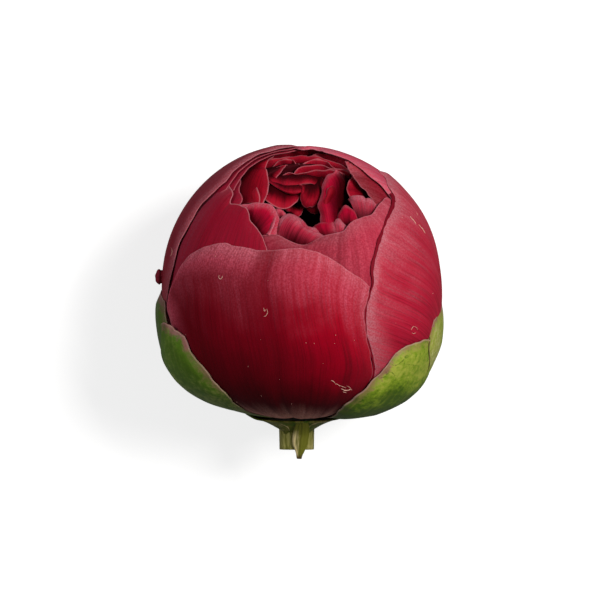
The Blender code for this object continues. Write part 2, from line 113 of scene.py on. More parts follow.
def shell_radius(toward, depth):
    """Distance from the bud's middle to the shell that lies depth below the outermost petals."""
    polar = np.arccos(np.clip(-(toward @ AXIS), -1, 1))
    swell = SHOULDER_SWELL * np.exp(-(((polar - SHOULDER_POLAR) / SHOULDER_SPREAD) ** 2))
    dimple = BASE_DIMPLE * np.exp(-((polar / BASE_SPREAD) ** 2))
    return BUD_RADIUS + swell - dimple - depth


def heading(azimuth, polar):
    """Direction by angles in degrees: azimuth from the viewer's side to the right, polar from the stem."""
    a = math.radians(azimuth)
    p = math.radians(polar)
    around = RIGHT * math.sin(a) + FRONT * math.cos(a)
    return AXIS * -math.cos(p) + around * math.sin(p)


def resting_height():
    """Height of the bud's middle, so that the back sepal is flat where it meets the surface."""
    drops = []
    for polar in range(40, 110):
        toward = heading(180, polar)
        drops.append(shell_radius(toward, -SEPAL_LAYER) * -toward[2])
    return max(drops) - FLAT_DEPTH


MIDDLE = np.array((0, REST_SHIFT, resting_height()))


def seen(*pixels):
    """Margin points that show in the photograph."""
    return [("seen", u, v) for u, v in pixels]


def hidden(*angles):
    """Margin points by azimuth and polar angle, where the photograph doesn't reach."""
    return [("hidden", azimuth, polar) for azimuth, polar in angles]


def moved(points, across):
    """Margin points moved sideways in the photograph."""
    return [(kind, u + across, v) if kind == "seen" else (kind, u, v) for kind, u, v in points]


# Rounds that find a point's depth, and short lines between two points of a curve
ROUNDS = 12
CURVE_STEPS = 12


def margin_direction(point, depth, tuck=0.0, stand=None):
    """Direction from the middle to a margin point on its shell, where the margin is tucked down."""
    kind, first, second = point
    if kind == "hidden":
        return heading(first, second)
    x = (first - MIDDLE_PIXEL[0]) * PIXEL
    y = (MIDDLE_PIXEL[1] - second) * PIXEL
    sunk = depth + tuck
    radius = BUD_RADIUS - sunk
    for _ in range(ROUNDS):
        toward = unit(np.array((x, y, math.sqrt(max(radius**2 - x**2 - y**2, 0)))))
        if stand is not None:
            polar = math.degrees(math.acos(-(toward @ AXIS)))
            share = np.interp(polar, *np.array(stand).T)
            sunk = depth * share + tuck * min(share, 1)
        radius = shell_radius(toward, sunk)
    return toward


def smooth_line(points, shares, spread=0.0):
    """Points at the given shares of the length of a Catmull-Rom curve through some points.

    Spread also counts the turn about the bud's axis as length, for margins that cross the bud's tip.
    """
    given = np.array(points, float)
    ends = np.vstack([2 * given[0] - given[1], given, 2 * given[-1] - given[-2]])
    fine = []
    for i in range(len(given) - 1):
        a, b, c, d = ends[i : i + 4]
        t = np.arange(CURVE_STEPS)[:, None] / CURVE_STEPS
        run = 2 * b + (c - a) * t + (2 * a - 5 * b + 4 * c - d) * t**2 + (3 * b - a - 3 * c + d) * t**3
        fine.append(run / 2)
    fine = np.vstack([*fine, given[-1:]])
    measured = fine.copy()
    if spread:
        around = fine - np.outer(fine @ AXIS, AXIS)
        measured += spread * around / np.maximum(np.linalg.norm(around, axis=1, keepdims=True), 0.001)
    along = np.concatenate([[0], np.cumsum(np.linalg.norm(np.diff(measured, axis=0), axis=1))])
    return np.stack([np.interp(shares * along[-1], along, fine[:, k]) for k in range(3)], axis=-1)


def great_circle(start, end, share):
    """Directions at a share of the way between two directions."""
    angle = np.arccos(np.clip((start * end).sum(-1, keepdims=True), -1, 1))
    return (start * np.sin((1 - share) * angle) + end * np.sin(share * angle)) / np.sin(angle)


def closed_sheet(name, outside, inside, flow, fields):
    """A thin closed blade between two grids of points, with its flow in mm as UVs and fields as attributes.

    The grids run over rows and columns, and outside is seen with its columns to the right and rows upwards.
    """
    rows, columns = outside.shape[:2]
    count = rows * columns
    index = np.arange(count).reshape(rows, columns)
    quads = np.stack([index[:-1, :-1], index[:-1, 1:], index[1:, 1:], index[1:, :-1]], axis=-1).reshape(-1, 4)
    loop = np.concatenate([index[0, :-1], index[:-1, -1], index[-1, :0:-1], index[:0:-1, 0]])
    after = np.roll(loop, -1)
    rim = np.stack([after, loop, loop + count, after + count], axis=-1)
    faces = np.vstack([quads, quads[:, ::-1] + count, rim])
    points = np.vstack([outside.reshape(-1, 3), inside.reshape(-1, 3)])
    mesh = bpy.data.meshes.new(name)
    mesh.from_pydata(points.tolist(), [], faces.tolist())
    corners = np.empty(len(mesh.loops), np.int32)
    mesh.loops.foreach_get("vertex_index", corners)
    lines = np.vstack([flow.reshape(-1, 2)] * 2)
    mesh.uv_layers.new(name="flow").data.foreach_set("uv", lines[corners].astype(np.float32).ravel())
    for field, values in fields.items():
        both = np.concatenate([values.ravel()] * 2).astype(np.float32)
        mesh.attributes.new(field, "FLOAT", "POINT").data.foreach_set("value", both)
    mesh.shade_smooth()
    return mesh


def eased(count, share):
    """Shares from 0 to 1 that lie closer together at both ends."""
    even = np.linspace(0, 1, count)
    return even * (1 - share) + (0.5 - 0.5 * np.cos(np.pi * even)) * share


# Sine waves that make up an irregular field
WAVE_COUNT = 6


def waves(flow, scale, seed):
    """A smooth irregular field between about -1 and 1, over a flow in mm, with features of one scale."""
    drawn = np.random.default_rng(seed)
    field = np.zeros(flow.shape[:2])
    for _ in range(WAVE_COUNT):
        turn = drawn.uniform(0, 2 * np.pi)
        pace = drawn.uniform(0.6, 1.5) * 2 * np.pi / scale
        along = flow[..., 0] * math.cos(turn) + flow[..., 1] * math.sin(turn)
        field += np.sin(along * pace + drawn.uniform(0, 2 * np.pi))
    return field * 2 / WAVE_COUNT


# Long and short bends of a ragged line in mm, and how far from its ends they reach their full width
LONG_BEND = 6.5
SHORT_BEND = 2.6
BEND_START = 3


def wavering(line, amount, seed):
    """A line of directions that wavers within the shell, the more the further from its ends."""
    along = unit(np.gradient(line, axis=0))
    beside = np.cross(line, along)
    steps = np.linalg.norm(np.diff(line, axis=0), axis=1) * BUD_RADIUS / MM
    run = np.concatenate([[0], np.cumsum(steps)])
    flow = np.stack([run, run * 0], axis=-1)[None]
    wave = waves(flow, LONG_BEND, seed)[0] + 0.5 * waves(flow, SHORT_BEND, seed + 1)[0]
    hold = np.clip(np.minimum(run, run[-1] - run) / BEND_START, 0, 1)
    return unit(line + beside * (wave * hold * amount / BUD_RADIUS)[:, None])


# Waves of a sheet in mm: the slow ones over it all and the short ones near its margin
SLOW_WAVE = 17
SHORT_WAVE = 5.5
# How fast in mm the free waves, the short waves, the tuck and the thin margin fade out
FREE_FADE = 4
NEAR_FADE = 2.5
TUCK_REACH = 1.3
WALL_REACH = 2.2
# How far in mm a ragged crest and ragged sides waver, and how closely that keeps to the margins
CREST_WAVER = 0.11
SIDE_WAVER = 0.13
CREST_HOLD = 12
SIDE_HOLD = 14
# Half width in mm of a petal's crease and the swings of its course
CREASE_WIDTH = 0.75
CREASE_SWING = 0.35
CREASE_BEND = 6
# How far in mm the veins of a sepal climb away from its midrib, and how widely they part
VEIN_CLIMB = 26
VEIN_SPREAD = 25
# How far the sheets stay inside the box of the solids
BOX_GAP = 0.02 * MM


def shell_petal(name, shape, foot, thickness, edge, tuck, size, seed, sway):
    """A petal or sepal bent over its shell, thick at the base and thin at its margins, which tuck down."""
    columns, rows = (max(8, round(n * FINE)) for n in size)
    across = eased(columns, 0.55)
    up = 1 - (1 - np.linspace(0, 1, rows)) ** 1.25
    depths = shape["depths"]
    turn = shape.get("turn", (0.0, 1.0))
    claw = shape["claw"]
    feet = np.array([heading(claw[0] + (claw[1] - claw[0]) * a, foot) for a in across])
    stands = shape.get("stand")
    middle_depth = sum(depths) / 2
    tops = [margin_direction(p, middle_depth, tuck, stands) for p in shape["top"]]
    crest = unit(smooth_line(tops, across, CREST_SPREAD))
    ragged = shape.get("ragged", 1.0) * MM
    ragged_crest = wavering(crest, CREST_WAVER * ragged, seed + 5) - crest
    sides = []
    ragged_sides = []
    for side, corner, depth in ((shape["left"], 0, depths[0]), (shape["right"], -1, depths[1])):
        run = [feet[corner], *(margin_direction(p, depth, tuck, stands) for p in side), crest[corner]]
        sides.append(unit(smooth_line(run, up)))
        ragged_sides.append(wavering(sides[-1], SIDE_WAVER * ragged, seed + 7 + corner) - sides[-1])
    share = up[:, None, None]
    toward = great_circle(feet[None], crest[None], share)
    weights = (1 - across, across)
    for corner, side, weight in zip((0, columns - 1), sides, weights):
        straight = great_circle(feet[[corner]], crest[[corner]], up[:, None])
        toward += (side - straight)[:, None] * weight[None, :, None]
    toward += ragged_crest[None] * share**CREST_HOLD
    for side, weight in zip(ragged_sides, weights):
        toward += side[:, None] * (weight**SIDE_HOLD)[None, :, None]
    toward = unit(toward)

    steps = np.linalg.norm(np.diff(toward, axis=1), axis=2) * BUD_RADIUS / MM
    from_left = np.concatenate([np.zeros((rows, 1)), np.cumsum(steps, axis=1)], axis=1)
    from_right = from_left[:, -1:] - from_left
    climbs = np.linalg.norm(np.diff(toward, axis=0), axis=2) * BUD_RADIUS / MM
    from_foot = np.concatenate([np.zeros((1, columns)), np.cumsum(climbs, axis=0)], axis=0)
    from_top = from_foot[-1:] - from_foot
    margin = np.minimum(np.minimum(from_left, from_right), from_top)
    flow = np.stack([np.broadcast_to(across * from_left[:, -1].max(), margin.shape), from_foot], axis=-1)
    if "midrib" in shape:
        beside = np.abs(across - shape["midrib"])[None, :] / shape["midrib"]
        climb = from_foot - VEIN_CLIMB * beside**0.35
        flow = np.stack([climb, beside * VEIN_SPREAD + from_foot * 0.4], axis=-1)

    fall = np.clip((across - turn[0]) / (turn[1] - turn[0]), 0, 1)
    depth = (depths[0] + (depths[1] - depths[0]) * fall)[None, :]
    free = 1 - np.exp(-margin / FREE_FADE)
    near = np.exp(-margin / NEAR_FADE)
    fold = tuck * np.exp(-((margin / TUCK_REACH) ** 1.3))
    swayed = sway * (waves(flow, SLOW_WAVE, seed) * free + waves(flow, SHORT_WAVE, seed + 1) * near * 0.7)
    polar = np.degrees(np.arccos(np.clip(-(toward @ AXIS), -1, 1)))
    stand = 1.0
    if stands:
        stand = np.interp(polar, *np.array(stands).T)
    height = shell_radius(toward, depth * stand) - fold * np.minimum(stand, 1) + swayed
    if "crease" in shape:
        place, deep = shape["crease"]
        swing = CREASE_SWING * np.sin(from_foot / CREASE_BEND)
        beside = (across - place)[None, :] * from_left[:, -1:] + swing
        height -= deep * np.exp(-((beside / CREASE_WIDTH) ** 2)) * np.clip(from_top / 3, 0.25, 1)
    wall = (edge + (thickness - edge) * (1 - np.exp(-margin / WALL_REACH))) * np.minimum(stand, 1)
    outside = MIDDLE + toward * height[..., None]
    inside = MIDDLE + toward * (height - wall)[..., None]
    floor = depth + SEPAL_LAYER
    outside = np.clip(outside, np.array(CAD_BOX[0]) + BOX_GAP, np.array(CAD_BOX[1]) - BOX_GAP)
    outside[..., 2] = np.maximum(outside[..., 2], floor)
    inside[..., 2] = np.maximum(inside[..., 2], floor + wall)
    rise = np.broadcast_to(up[:, None], margin.shape)
    return closed_sheet(name, outside, inside, flow, {"margin": margin, "rise": rise})


# Seams between the outermost petals, from the base upwards
LEFT_SEAM = seen((170, 325), (166, 312), (166.5, 303), (168.5, 290))
RIGHT_SEAM = seen((374, 372), (370.5, 352), (367, 336), (365.3, 320), (365.6, 308), (369, 297))

OUTER_PETALS = {
    "petal_front": dict(
        left=hidden((-66, 32), (-68, 52)) + moved(LEFT_SEAM[:3], SEAM_GAP),
        top=seen((172, 288), (177, 277), (187, 260), (205, 248), (225, 243.5), (240, 248), (266, 251))
        + seen((290, 249), (310, 251), (332, 260), (347, 271), (361, 280), (368.5, 287)),
        right=hidden((34, 32), (34, 52)) + moved(RIGHT_SEAM, -SEAM_GAP),
        claw=(-56, 26),
        depths=(0, 0),
        crease=(0.575, 0.24 * MM),
    ),
    "petal_right": dict(
        left=hidden((38, 32), (36, 52)) + RIGHT_SEAM + seen((373, 284), (372, 272)),
        top=seen((374, 260), (381, 238), (388, 219), (394, 205), (394, 197), (388, 187), (385, 178))
        + seen((378.5, 171))
        + hidden((98, 143), (118, 136)),
        right=hidden((137, 32), (139.5, 60), (138.5, 95), (133, 122)),
        claw=(42, 128),
        depths=(0, 0),
        midrib=0.55,
    ),
    "petal_back": dict(
        left=hidden((140, 32), (142, 60), (141, 95), (138, 122)),
        top=hidden((142, 138), (158, 148), (175, 149), (190, 145), (201, 136)),
        right=hidden((214, 32), (215.5, 60), (216.5, 95), (214, 122)),
        claw=(148, 206),
        depths=(0, 0),
    ),
    "petal_left": dict(
        left=hidden((217, 32), (218, 60), (219, 95), (217, 120), (212, 140)),
        top=hidden((207, 155), (228, 166))
        + seen((296, 146), (289, 147.3), (279.5, 148.7), (262, 153.8), (251, 158.8))
        + seen((238, 168.5), (226, 182)),
        right=hidden((-75, 32), (-76, 52))
        + LEFT_SEAM
        + seen((172.5, 273), (180, 244), (188, 228), (198.5, 210), (212, 195)),
        claw=(228, 280),
        depths=(0, 0),
    ),
    "petal_front_left": dict(
        left=hidden((-116, 34), (-112, 80), (-106, 118)),
        top=hidden((-100, 136))
        + seen((214, 193), (221, 187), (228.6, 183.8), (230.5, 188), (233.3, 194.7), (231, 204), (236, 205))
        + seen((247, 208.5), (251, 220), (258, 230), (263, 237.5), (267.6, 250)),
        right=hidden((-30, 34), (-22, 60), (-15, 92)),
        claw=(-100, -45),
        depths=(LAYER, LAYER),
    ),
    "petal_back_rim": dict(
        left=hidden((78, 34), (72, 80), (68, 116)),
        top=seen((392, 208), (390, 198), (382, 187), (372, 179), (358, 167), (345, 158.5), (329, 153.5))
        + seen((316, 149.8), (308, 149.3), (300, 149.6))
        + hidden((214, 166), (228, 155)),
        right=hidden((208, 34), (214, 80), (222, 120)),
        claw=(92, 196),
        depths=(0.6 * LAYER, 0.6 * LAYER),
    ),
    "petal_front_right": dict(
        left=hidden((-46, 34), (-42, 80), (-34, 112)),
        top=seen((263, 235), (277, 235), (288, 240), (304, 244), (325, 237), (341, 232.5), (349, 224.5))
        + seen((360, 220), (369, 217), (376, 207), (384, 200.5), (389.5, 204)),
        right=hidden((70, 34), (74, 80), (72, 112)),
        claw=(-34, 62),
        depths=(2 * LAYER, 0.75 * LAYER),
        turn=(0.3, 0.66),
    ),
    "petal_left_inner": dict(
        left=hidden((-112, 34), (-110, 90), (-107, 128)),
        top=hidden((-104, 142))
        + seen((232, 177), (236, 178), (241, 182), (239.7, 190), (241.5, 196), (243, 201), (240, 207)),
        right=hidden((-66, 34), (-60, 80), (-56, 114)),
        claw=(-104, -74),
        depths=(2 * LAYER, 2 * LAYER),
    ),
    "petal_left_rim": dict(
        left=hidden((166, 34), (167, 80), (167, 120)),
        top=hidden((168, 140), (174, 158))
        + seen((307, 155.6), (299, 153.9), (287, 155.6), (274, 156), (263.7, 157))
        + seen((260.5, 160.8), (254, 167))
        + seen((249, 174.3), (244.7, 181.2), (242, 188)),
        right=hidden((-80, 34), (-72, 80), (-64, 118)),
        claw=(174, 260),
        depths=(1.8 * LAYER, 2.6 * LAYER),
        turn=(0.0, 0.5),
    ),
    "petal_right_rim": dict(
        left=hidden((58, 34), (56, 80), (60, 118)),
        top=seen((376, 206), (370.5, 198), (366, 191), (358, 183), (351.5, 174.5))
        + seen((347, 167.5), (344.5, 163)),
        right=hidden((140, 34), (143, 80), (143, 110), (134, 142)),
        claw=(70, 128),
        depths=(1.7 * LAYER, 1.2 * LAYER),
        turn=(0.3, 1.0),
    ),
}

# A dark strip under the right petal's left margin, shaped as the margin turned under and painted dark as the
# shadow beside it: it shows as a deep red line beside the petal
RIGHT_SHADOW_STRIP = dict(
    left=hidden((36, 32), (34.5, 52))
    + moved(RIGHT_SEAM, -2.4)
    + seen((371.2, 285), (369.5, 273), (371.4, 260), (378, 238), (385, 219), (390.8, 206), (391, 198)),
    top=seen((389.5, 194), (392, 193.5), (396, 193)),
    right=hidden((42, 32), (41, 52))
    + moved(RIGHT_SEAM, 6)
    + seen((379, 285), (378, 273), (380, 260), (387, 239), (394, 221), (400, 206), (400, 198)),
    claw=(38, 44),
    depths=(0.42 * LAYER, 0.42 * LAYER),
)

# Margins of the petals that only show as thin rims between the left petal and the opening
LEFT_RIMS = {
    "left_rim_high": dict(
        left=hidden((206, 120), (204, 140)),
        top=hidden((201, 155), (196, 166))
        + seen((302, 147.6), (290, 149.4), (276, 151.6), (262, 155.8), (250, 162.4), (240, 171), (232, 181))
        + seen((226, 190)),
        right=hidden((-80, 110), (-76, 118)),
        claw=(212, 276),
        depths=(0.5 * LAYER, 0.9 * LAYER),
    ),
    "left_rim_low": dict(
        left=hidden((206, 120), (204, 140)),
        top=hidden((196, 156), (186, 166))
        + seen((305, 149.6), (292, 151.8), (278, 153.6), (264, 158.4), (254, 164.2))
        + seen((246, 171.4), (239, 180))
        + seen((234, 190)),
        right=hidden((-76, 110), (-72, 118)),
        claw=(212, 280),
        depths=(1.0 * LAYER, 1.5 * LAYER),
    ),
}

SEPALS = {
    "sepal_left": dict(
        left=hidden((-104, 32), (-101, 46), (-90, 55)) + seen((163.2, 353), (162.4, 342), (162.6, 332)),
        top=seen((164, 324), (166, 321), (170, 323.5), (176, 329.5), (182.5, 337)),
        right=seen((249, 412), (241, 406.5), (225, 391), (209, 373), (195.5, 356)),
        claw=(-100, -38),
        depths=(-2 * SEPAL_LAYER, -SEPAL_LAYER),
        turn=(0.4, 1.0),
        stand=[(18, 0.2), (24, 0.3), (32, 0.42), (39, 0.68), (46, 0.84), (53, 1.0), (61, 1.05), (70, 0.95)],
        ragged=2.0,
    ),
    "sepal_right": dict(
        left=seen((340, 409), (358, 393.5), (374, 377.5), (386, 363.5)),
        top=seen((396, 353.5), (406, 345.5), (415, 341.5), (422, 338.5), (428, 339)),
        right=hidden((98, 32), (92, 46)) + seen((428.6, 370), (428.8, 355)),
        claw=(36, 88),
        depths=(-SEPAL_LAYER, -2 * SEPAL_LAYER),
        turn=(0.0, 0.5),
        stand=[(18, 0.2), (23, 0.4), (33, 0.86), (43, 1.0), (52, 0.95), (59, 0.72), (68, 0.66)],
        ragged=2.0,
    ),
    "sepal_left_outer": dict(
        left=hidden((-150, 32), (-154, 55), (-148, 72)),
        top=hidden((-138, 80), (-120, 85)) + seen((160, 293), (164, 301)),
        right=hidden((-70, 32), (-66, 52)) + seen((169, 330), (165.5, 314)),
        claw=(-142, -80),
        depths=(-SEPAL_LAYER, -0.6 * SEPAL_LAYER),
        turn=(0.72, 1.0),
        stand=[(18, 0.3), (32, 0.65), (46, 1.4), (54, 1.8), (61, 1.9)]
        + [(69, 1.66), (75, 1.42), (81, 1.15), (86, 0.4), (90, 0.25)],
    ),
    "sepal_right_outer": dict(
        left=hidden((66, 32), (58, 56)) + seen((428, 334)),
        top=seen((434, 320), (441, 309)) + hidden((108, 84), (128, 78)),
        right=hidden((138, 32), (142, 58), (140, 68)),
        claw=(78, 130),
        depths=(-0.6 * SEPAL_LAYER, -SEPAL_LAYER),
        turn=(0.1, 0.4),
        stand=[(18, 0.25), (32, 0.9), (44, 1.7), (52, 1.75), (59, 1.35)]
        + [(66, 1.3), (73, 0.85), (80, 0.4), (88, 0.25)],
    ),
    "sepal_back": dict(
        left=hidden((146, 32), (150, 58), (154, 78)),
        top=hidden((160, 91), (172, 98), (184, 99), (195, 92)),
        right=hidden((200, 32), (203, 52), (203, 72)),
        claw=(152, 194),
        depths=(-SEPAL_LAYER, -SEPAL_LAYER),
        stand=[(18, 0.3), (40, 1.0), (98, 1.0)],
    ),
}

# Ruffled petals of the heart: rim, belly and root as pixels with a height in mm above the bud's middle
HEART_BACK = {
    "crown_gap": (
        [(266, 160, 0.8), (272, 156.6, 0.7), (280, 153.6, 0.6), (290, 151.4, 0.6), (300, 150, 0.6)]
        + [(309, 149.6, 0.6), (318, 149.8, 0.8), (328, 151.8, 1)],
        [(278, 163, -0.6), (304, 157, -0.8), (328, 161, -0.4)],
        [(286, 178, -4), (306, 176, -5), (326, 178, -4)],
    ),
    "crown_back": (
        [(262, 164, 1), (268, 161, 1.6), (276, 158.8, 1.8), (286, 157.6, 1.6)]
        + [(294, 156.4, 1.4), (302, 155.8, 1.4), (309, 157, 1.6), (318, 157.6, 2)]
        + [(328, 160, 2.6), (338, 163, 3.2), (346, 168, 4.2), (353, 175, 5.4)],
        [(268, 172, 1), (306, 167, 0.6), (352, 184, 3)],
        [(278, 190, -4), (306, 192, -5), (342, 194, -4)],
    ),
    "crown_fold": (
        [(272, 166, 2), (279, 161.4, 2.6), (285, 159.2, 2.6), (291, 160.4, 2.8), (294.6, 162.6, 3.2)]
        + [(298, 165.4, 3.6), (303, 168, 3.4)],
        [(278, 170, 1), (290, 167, 1.6), (304, 172, 1.4)],
        [(282, 186, -2), (292, 186, -2), (304, 186, -3)],
    ),
    "crown_right": (
        [(312, 156, 1.8), (319, 153.2, 1.6), (327, 153.8, 1.7), (335, 156, 2), (343, 158.8, 2.5)]
        + [(349, 163, 3.4), (354, 170, 4.6)],
        [(316, 164, 0.6), (334, 167, 1.2), (352, 181, 2.8)],
        [(320, 184, -4), (334, 186, -4), (348, 192, -3)],
    ),
    "back_high": (
        [(260, 182, 4.6), (265.6, 176.4, 4.8), (270.5, 172.2, 4.8), (275.3, 168.8, 4.4)]
        + [(280.5, 166.4, 4), (285, 165.7, 3.8), (291, 165.7, 3.8), (296.3, 164.8, 3.6)]
        + [(300, 165.7, 3.8), (303.7, 163.8, 3.4), (308, 161.2, 3), (312, 159.8, 2.8)]
        + [(317.4, 159.6, 2.8), (322.6, 160.3, 3), (328, 163.8, 3.8), (331, 166, 4.2)]
        + [(335.3, 168, 4.6), (343.7, 169.6, 5), (351, 172.6, 5.4)],
        [(266, 186, 3.2), (286, 177, 2.2), (306, 173.6, 1.6), (322, 171.6, 1.6), (346, 183, 3.2)],
        [(276, 198, -3), (306, 200, -4), (340, 200, -3)],
    ),
    "back_middle": (
        [(288, 179, 3.8), (292.4, 174.6, 4.8), (297.6, 169.2, 5.3), (303.7, 166.4, 5)]
        + [(310, 165.6, 4.9), (319.5, 165.6, 4.9), (324.7, 167, 5.1), (329, 168.5, 5.4)]
        + [(335, 169.3, 5.6), (343.7, 170.2, 5.7), (351, 174, 5.6)],
        [(295, 184, 3.4), (320, 178.6, 2.8), (346, 185, 3.8)],
        [(300, 204, -1), (318, 206, -2), (340, 204, -1)],
    ),
    "back_low": (
        [(275, 182, 6), (281.6, 176.8, 6.7), (290.5, 173.9, 7), (297.4, 174.3, 7), (303.7, 173.8, 6.9)]
        + [(310, 172.2, 6.7), (317.4, 171.7, 6.7), (324.7, 170.8, 6.8), (330, 169.8, 7), (338, 171.4, 7)]
        + [(345, 176, 6.6)],
        [(282, 188, 4.4), (308, 184, 4), (342, 191, 4.2)],
        [(288, 210, -0.5), (308, 212, -1), (334, 210, 0)],
    ),
    "back_deep": (
        [(276, 194, 6), (286, 184, 6.4), (298, 181.4, 6.4)]
        + [(312, 180.8, 6.4), (324, 180, 6.4), (336, 184, 6)],
        [(284, 200, 3), (308, 194, 2.6), (334, 198, 3)],
        [(290, 214, -2), (308, 216, -3), (328, 214, -2)],
    ),
    "left_diagonal": (
        [(286, 164.4, 4.8), (284.6, 168.4, 5.8), (282.4, 171.6, 6.6), (279.5, 175, 7.4)]
        + [(275.4, 179.6, 8.4), (272, 183.4, 9.2), (267, 188, 10), (263, 192, 10.4)],
        [(277, 168, 4), (272, 175, 5.4), (265, 184.6, 7.4)],
        [(270, 170, 1), (265, 178, 2.4), (260, 187, 4.4)],
    ),
}

HEART_LEFT = {
    "left_sheath": (
        [(262, 180, 7), (270.5, 183.7, 9), (277, 185.4, 9.4), (284, 187.2, 9.8), (290, 187.8, 10)]
        + [(297, 186.6, 10.3), (305, 184.4, 10.3), (313, 185.6, 10), (320, 189, 9.4), (326, 194, 8)],
        [(266, 176, 5.4), (282, 179, 8.2), (298, 179.6, 8.6), (312, 179.4, 8.2), (326, 184, 6)],
        [(268, 172, 1), (290, 171, 1), (316, 172, 1)],
    ),
    "left_drape": (
        [(262, 178, 8), (271, 184.8, 10), (277.5, 189.4, 11), (284, 193.8, 11.8), (289, 195.3, 12.1)]
        + [(294.6, 195.4, 12.3), (301, 193.7, 12.2), (305, 195, 12), (309, 199, 11.4)],
        [(266, 178, 7), (281, 185.6, 10), (294, 188.6, 11.2), (308, 188, 10.4)],
        [(268, 174, 2), (288, 175, 1.6), (310, 176, 1)],
    ),
    "left_lower": (
        [(260, 196, 12.4), (268, 203.4, 13.2), (276, 208, 13.7), (284.3, 210, 13.6), (290.2, 208.6, 13.4)]
        + [(293.8, 205.6, 13.2), (297, 202.6, 12.8), (299.2, 199.4, 12.4), (302, 196, 11.6)],
        [(264, 191, 11), (276, 196, 12.2), (288, 198, 12), (300, 190, 10)],
        [(265, 180, 7), (276, 185, 9), (290, 188.6, 9.4), (302, 184, 7)],
    ),
    "left_deep": (
        [(282, 206, 10), (287, 211.4, 11), (291, 214.8, 11.4), (296, 217.4, 11.6), (301, 214.4, 11.3)]
        + [(304, 208, 10.6), (306, 200, 9)],
        [(284, 201, 8.6), (295, 208, 10.4), (305, 198, 8)],
        [(286, 194, 2), (296, 196, 2), (306, 192, 1)],
    ),
}

HEART_SIDE = {
    "left_upright": (
        [(275, 154.6, 1.6), (272.4, 157.4, 2.6), (269, 161.4, 3.8), (266.6, 165.4, 5)]
        + [(266.1, 169.6, 6.3), (268.1, 176, 8.2), (269.3, 183.3, 10), (268.8, 190.6, 11.6)]
        + [(267.6, 196, 12.6), (264.8, 202.4, 13.8), (263, 208, 14.6)],
        [(266, 159, 2.2), (259, 167, 5.4), (255.6, 177, 8.6), (253, 189, 11.2), (252.6, 204, 13.8)],
        [(262, 158, 1.4), (254, 165, 3.4), (247, 173, 6.2)]
        + [(242, 182, 8.8), (239.6, 192, 11), (239.6, 208, 13.2)],
    ),
    "left_fold": (
        [(250.4, 175, 6), (251.8, 177.6, 6.9), (254.7, 183.3, 9.7), (257.4, 188.5, 11.6)]
        + [(259.4, 193.6, 13), (260, 198, 13.9), (259.8, 204, 14.8)],
        [(247.6, 178, 6.2), (250, 190, 10.6), (251.6, 206, 14)],
        [(245, 181, 5), (243.6, 192, 8.6), (244, 208, 11.6)],
    ),
    "centre_fold": (
        [(322, 209, 16), (323.8, 201, 15.9), (326.6, 195, 15.3), (329, 190.4, 14.6), (331, 186.2, 13.8)],
        [(326, 210, 16.6), (328, 201.6, 16.2), (331, 194.6, 15.2), (333.2, 187.6, 13.7)],
        [(332, 214, 13), (334, 205, 12.6), (337, 197, 11.4), (338, 188, 10.4)],
    ),
}

HEART_CENTRE = {
    "hanging_lobe": (
        [(296, 184, 9.4), (302.6, 189.6, 11.7), (302, 194, 12.4), (300.4, 199.4, 13)]
        + [(302.4, 204.8, 13.5), (305.8, 208.5, 13.8), (309, 207.6, 13.8), (312, 208.2, 13.8)]
        + [(316, 205.4, 13.4), (318.6, 200, 12.6), (321, 193, 11.2), (324, 186, 9.4)],
        [(300, 182, 8.6), (305.6, 190, 12), (311, 194, 12.8), (317, 189, 11.2), (323, 180, 7.6)],
        [(302, 176, 2), (310, 174, 2), (322, 174, 2)],
    ),
    "centre_curtain": (
        [(302, 204, 9.6), (306, 209.6, 10.6), (311, 212.4, 11), (316.6, 214.4, 11.2), (321, 210, 11)]
        + [(326, 202, 10)],
        [(304, 197, 8.6), (314, 203, 10), (325, 195, 8.6)],
        [(306, 190, 2), (315, 190, 2), (326, 188, 2)],
    ),
    "right_dark": (
        [(353, 176, 7), (350, 180.6, 8.4), (347.4, 184.4, 9.5), (345.9, 188.4, 10.5), (346.9, 193.6, 11.5)]
        + [(349.6, 198.6, 12.4), (353, 204, 13), (356, 212, 13.6)],
        [(361, 178, 5.6), (361, 189, 9), (364, 201, 11.2), (367, 214, 12.4)],
        [(368, 178, 0), (374, 190, 4), (379, 204, 7), (377, 216, 8)],
    ),
    "right_band": (
        [(356, 180, 8.6), (360.6, 186, 10.1), (364.4, 191.4, 11.2), (368.6, 196.6, 12), (374, 203, 12.8)],
        [(361, 181, 7.6), (367, 190, 9.8), (377, 203, 12)],
        [(365, 181, 4.6), (372, 190, 7), (380, 202, 9.4)],
    ),
}

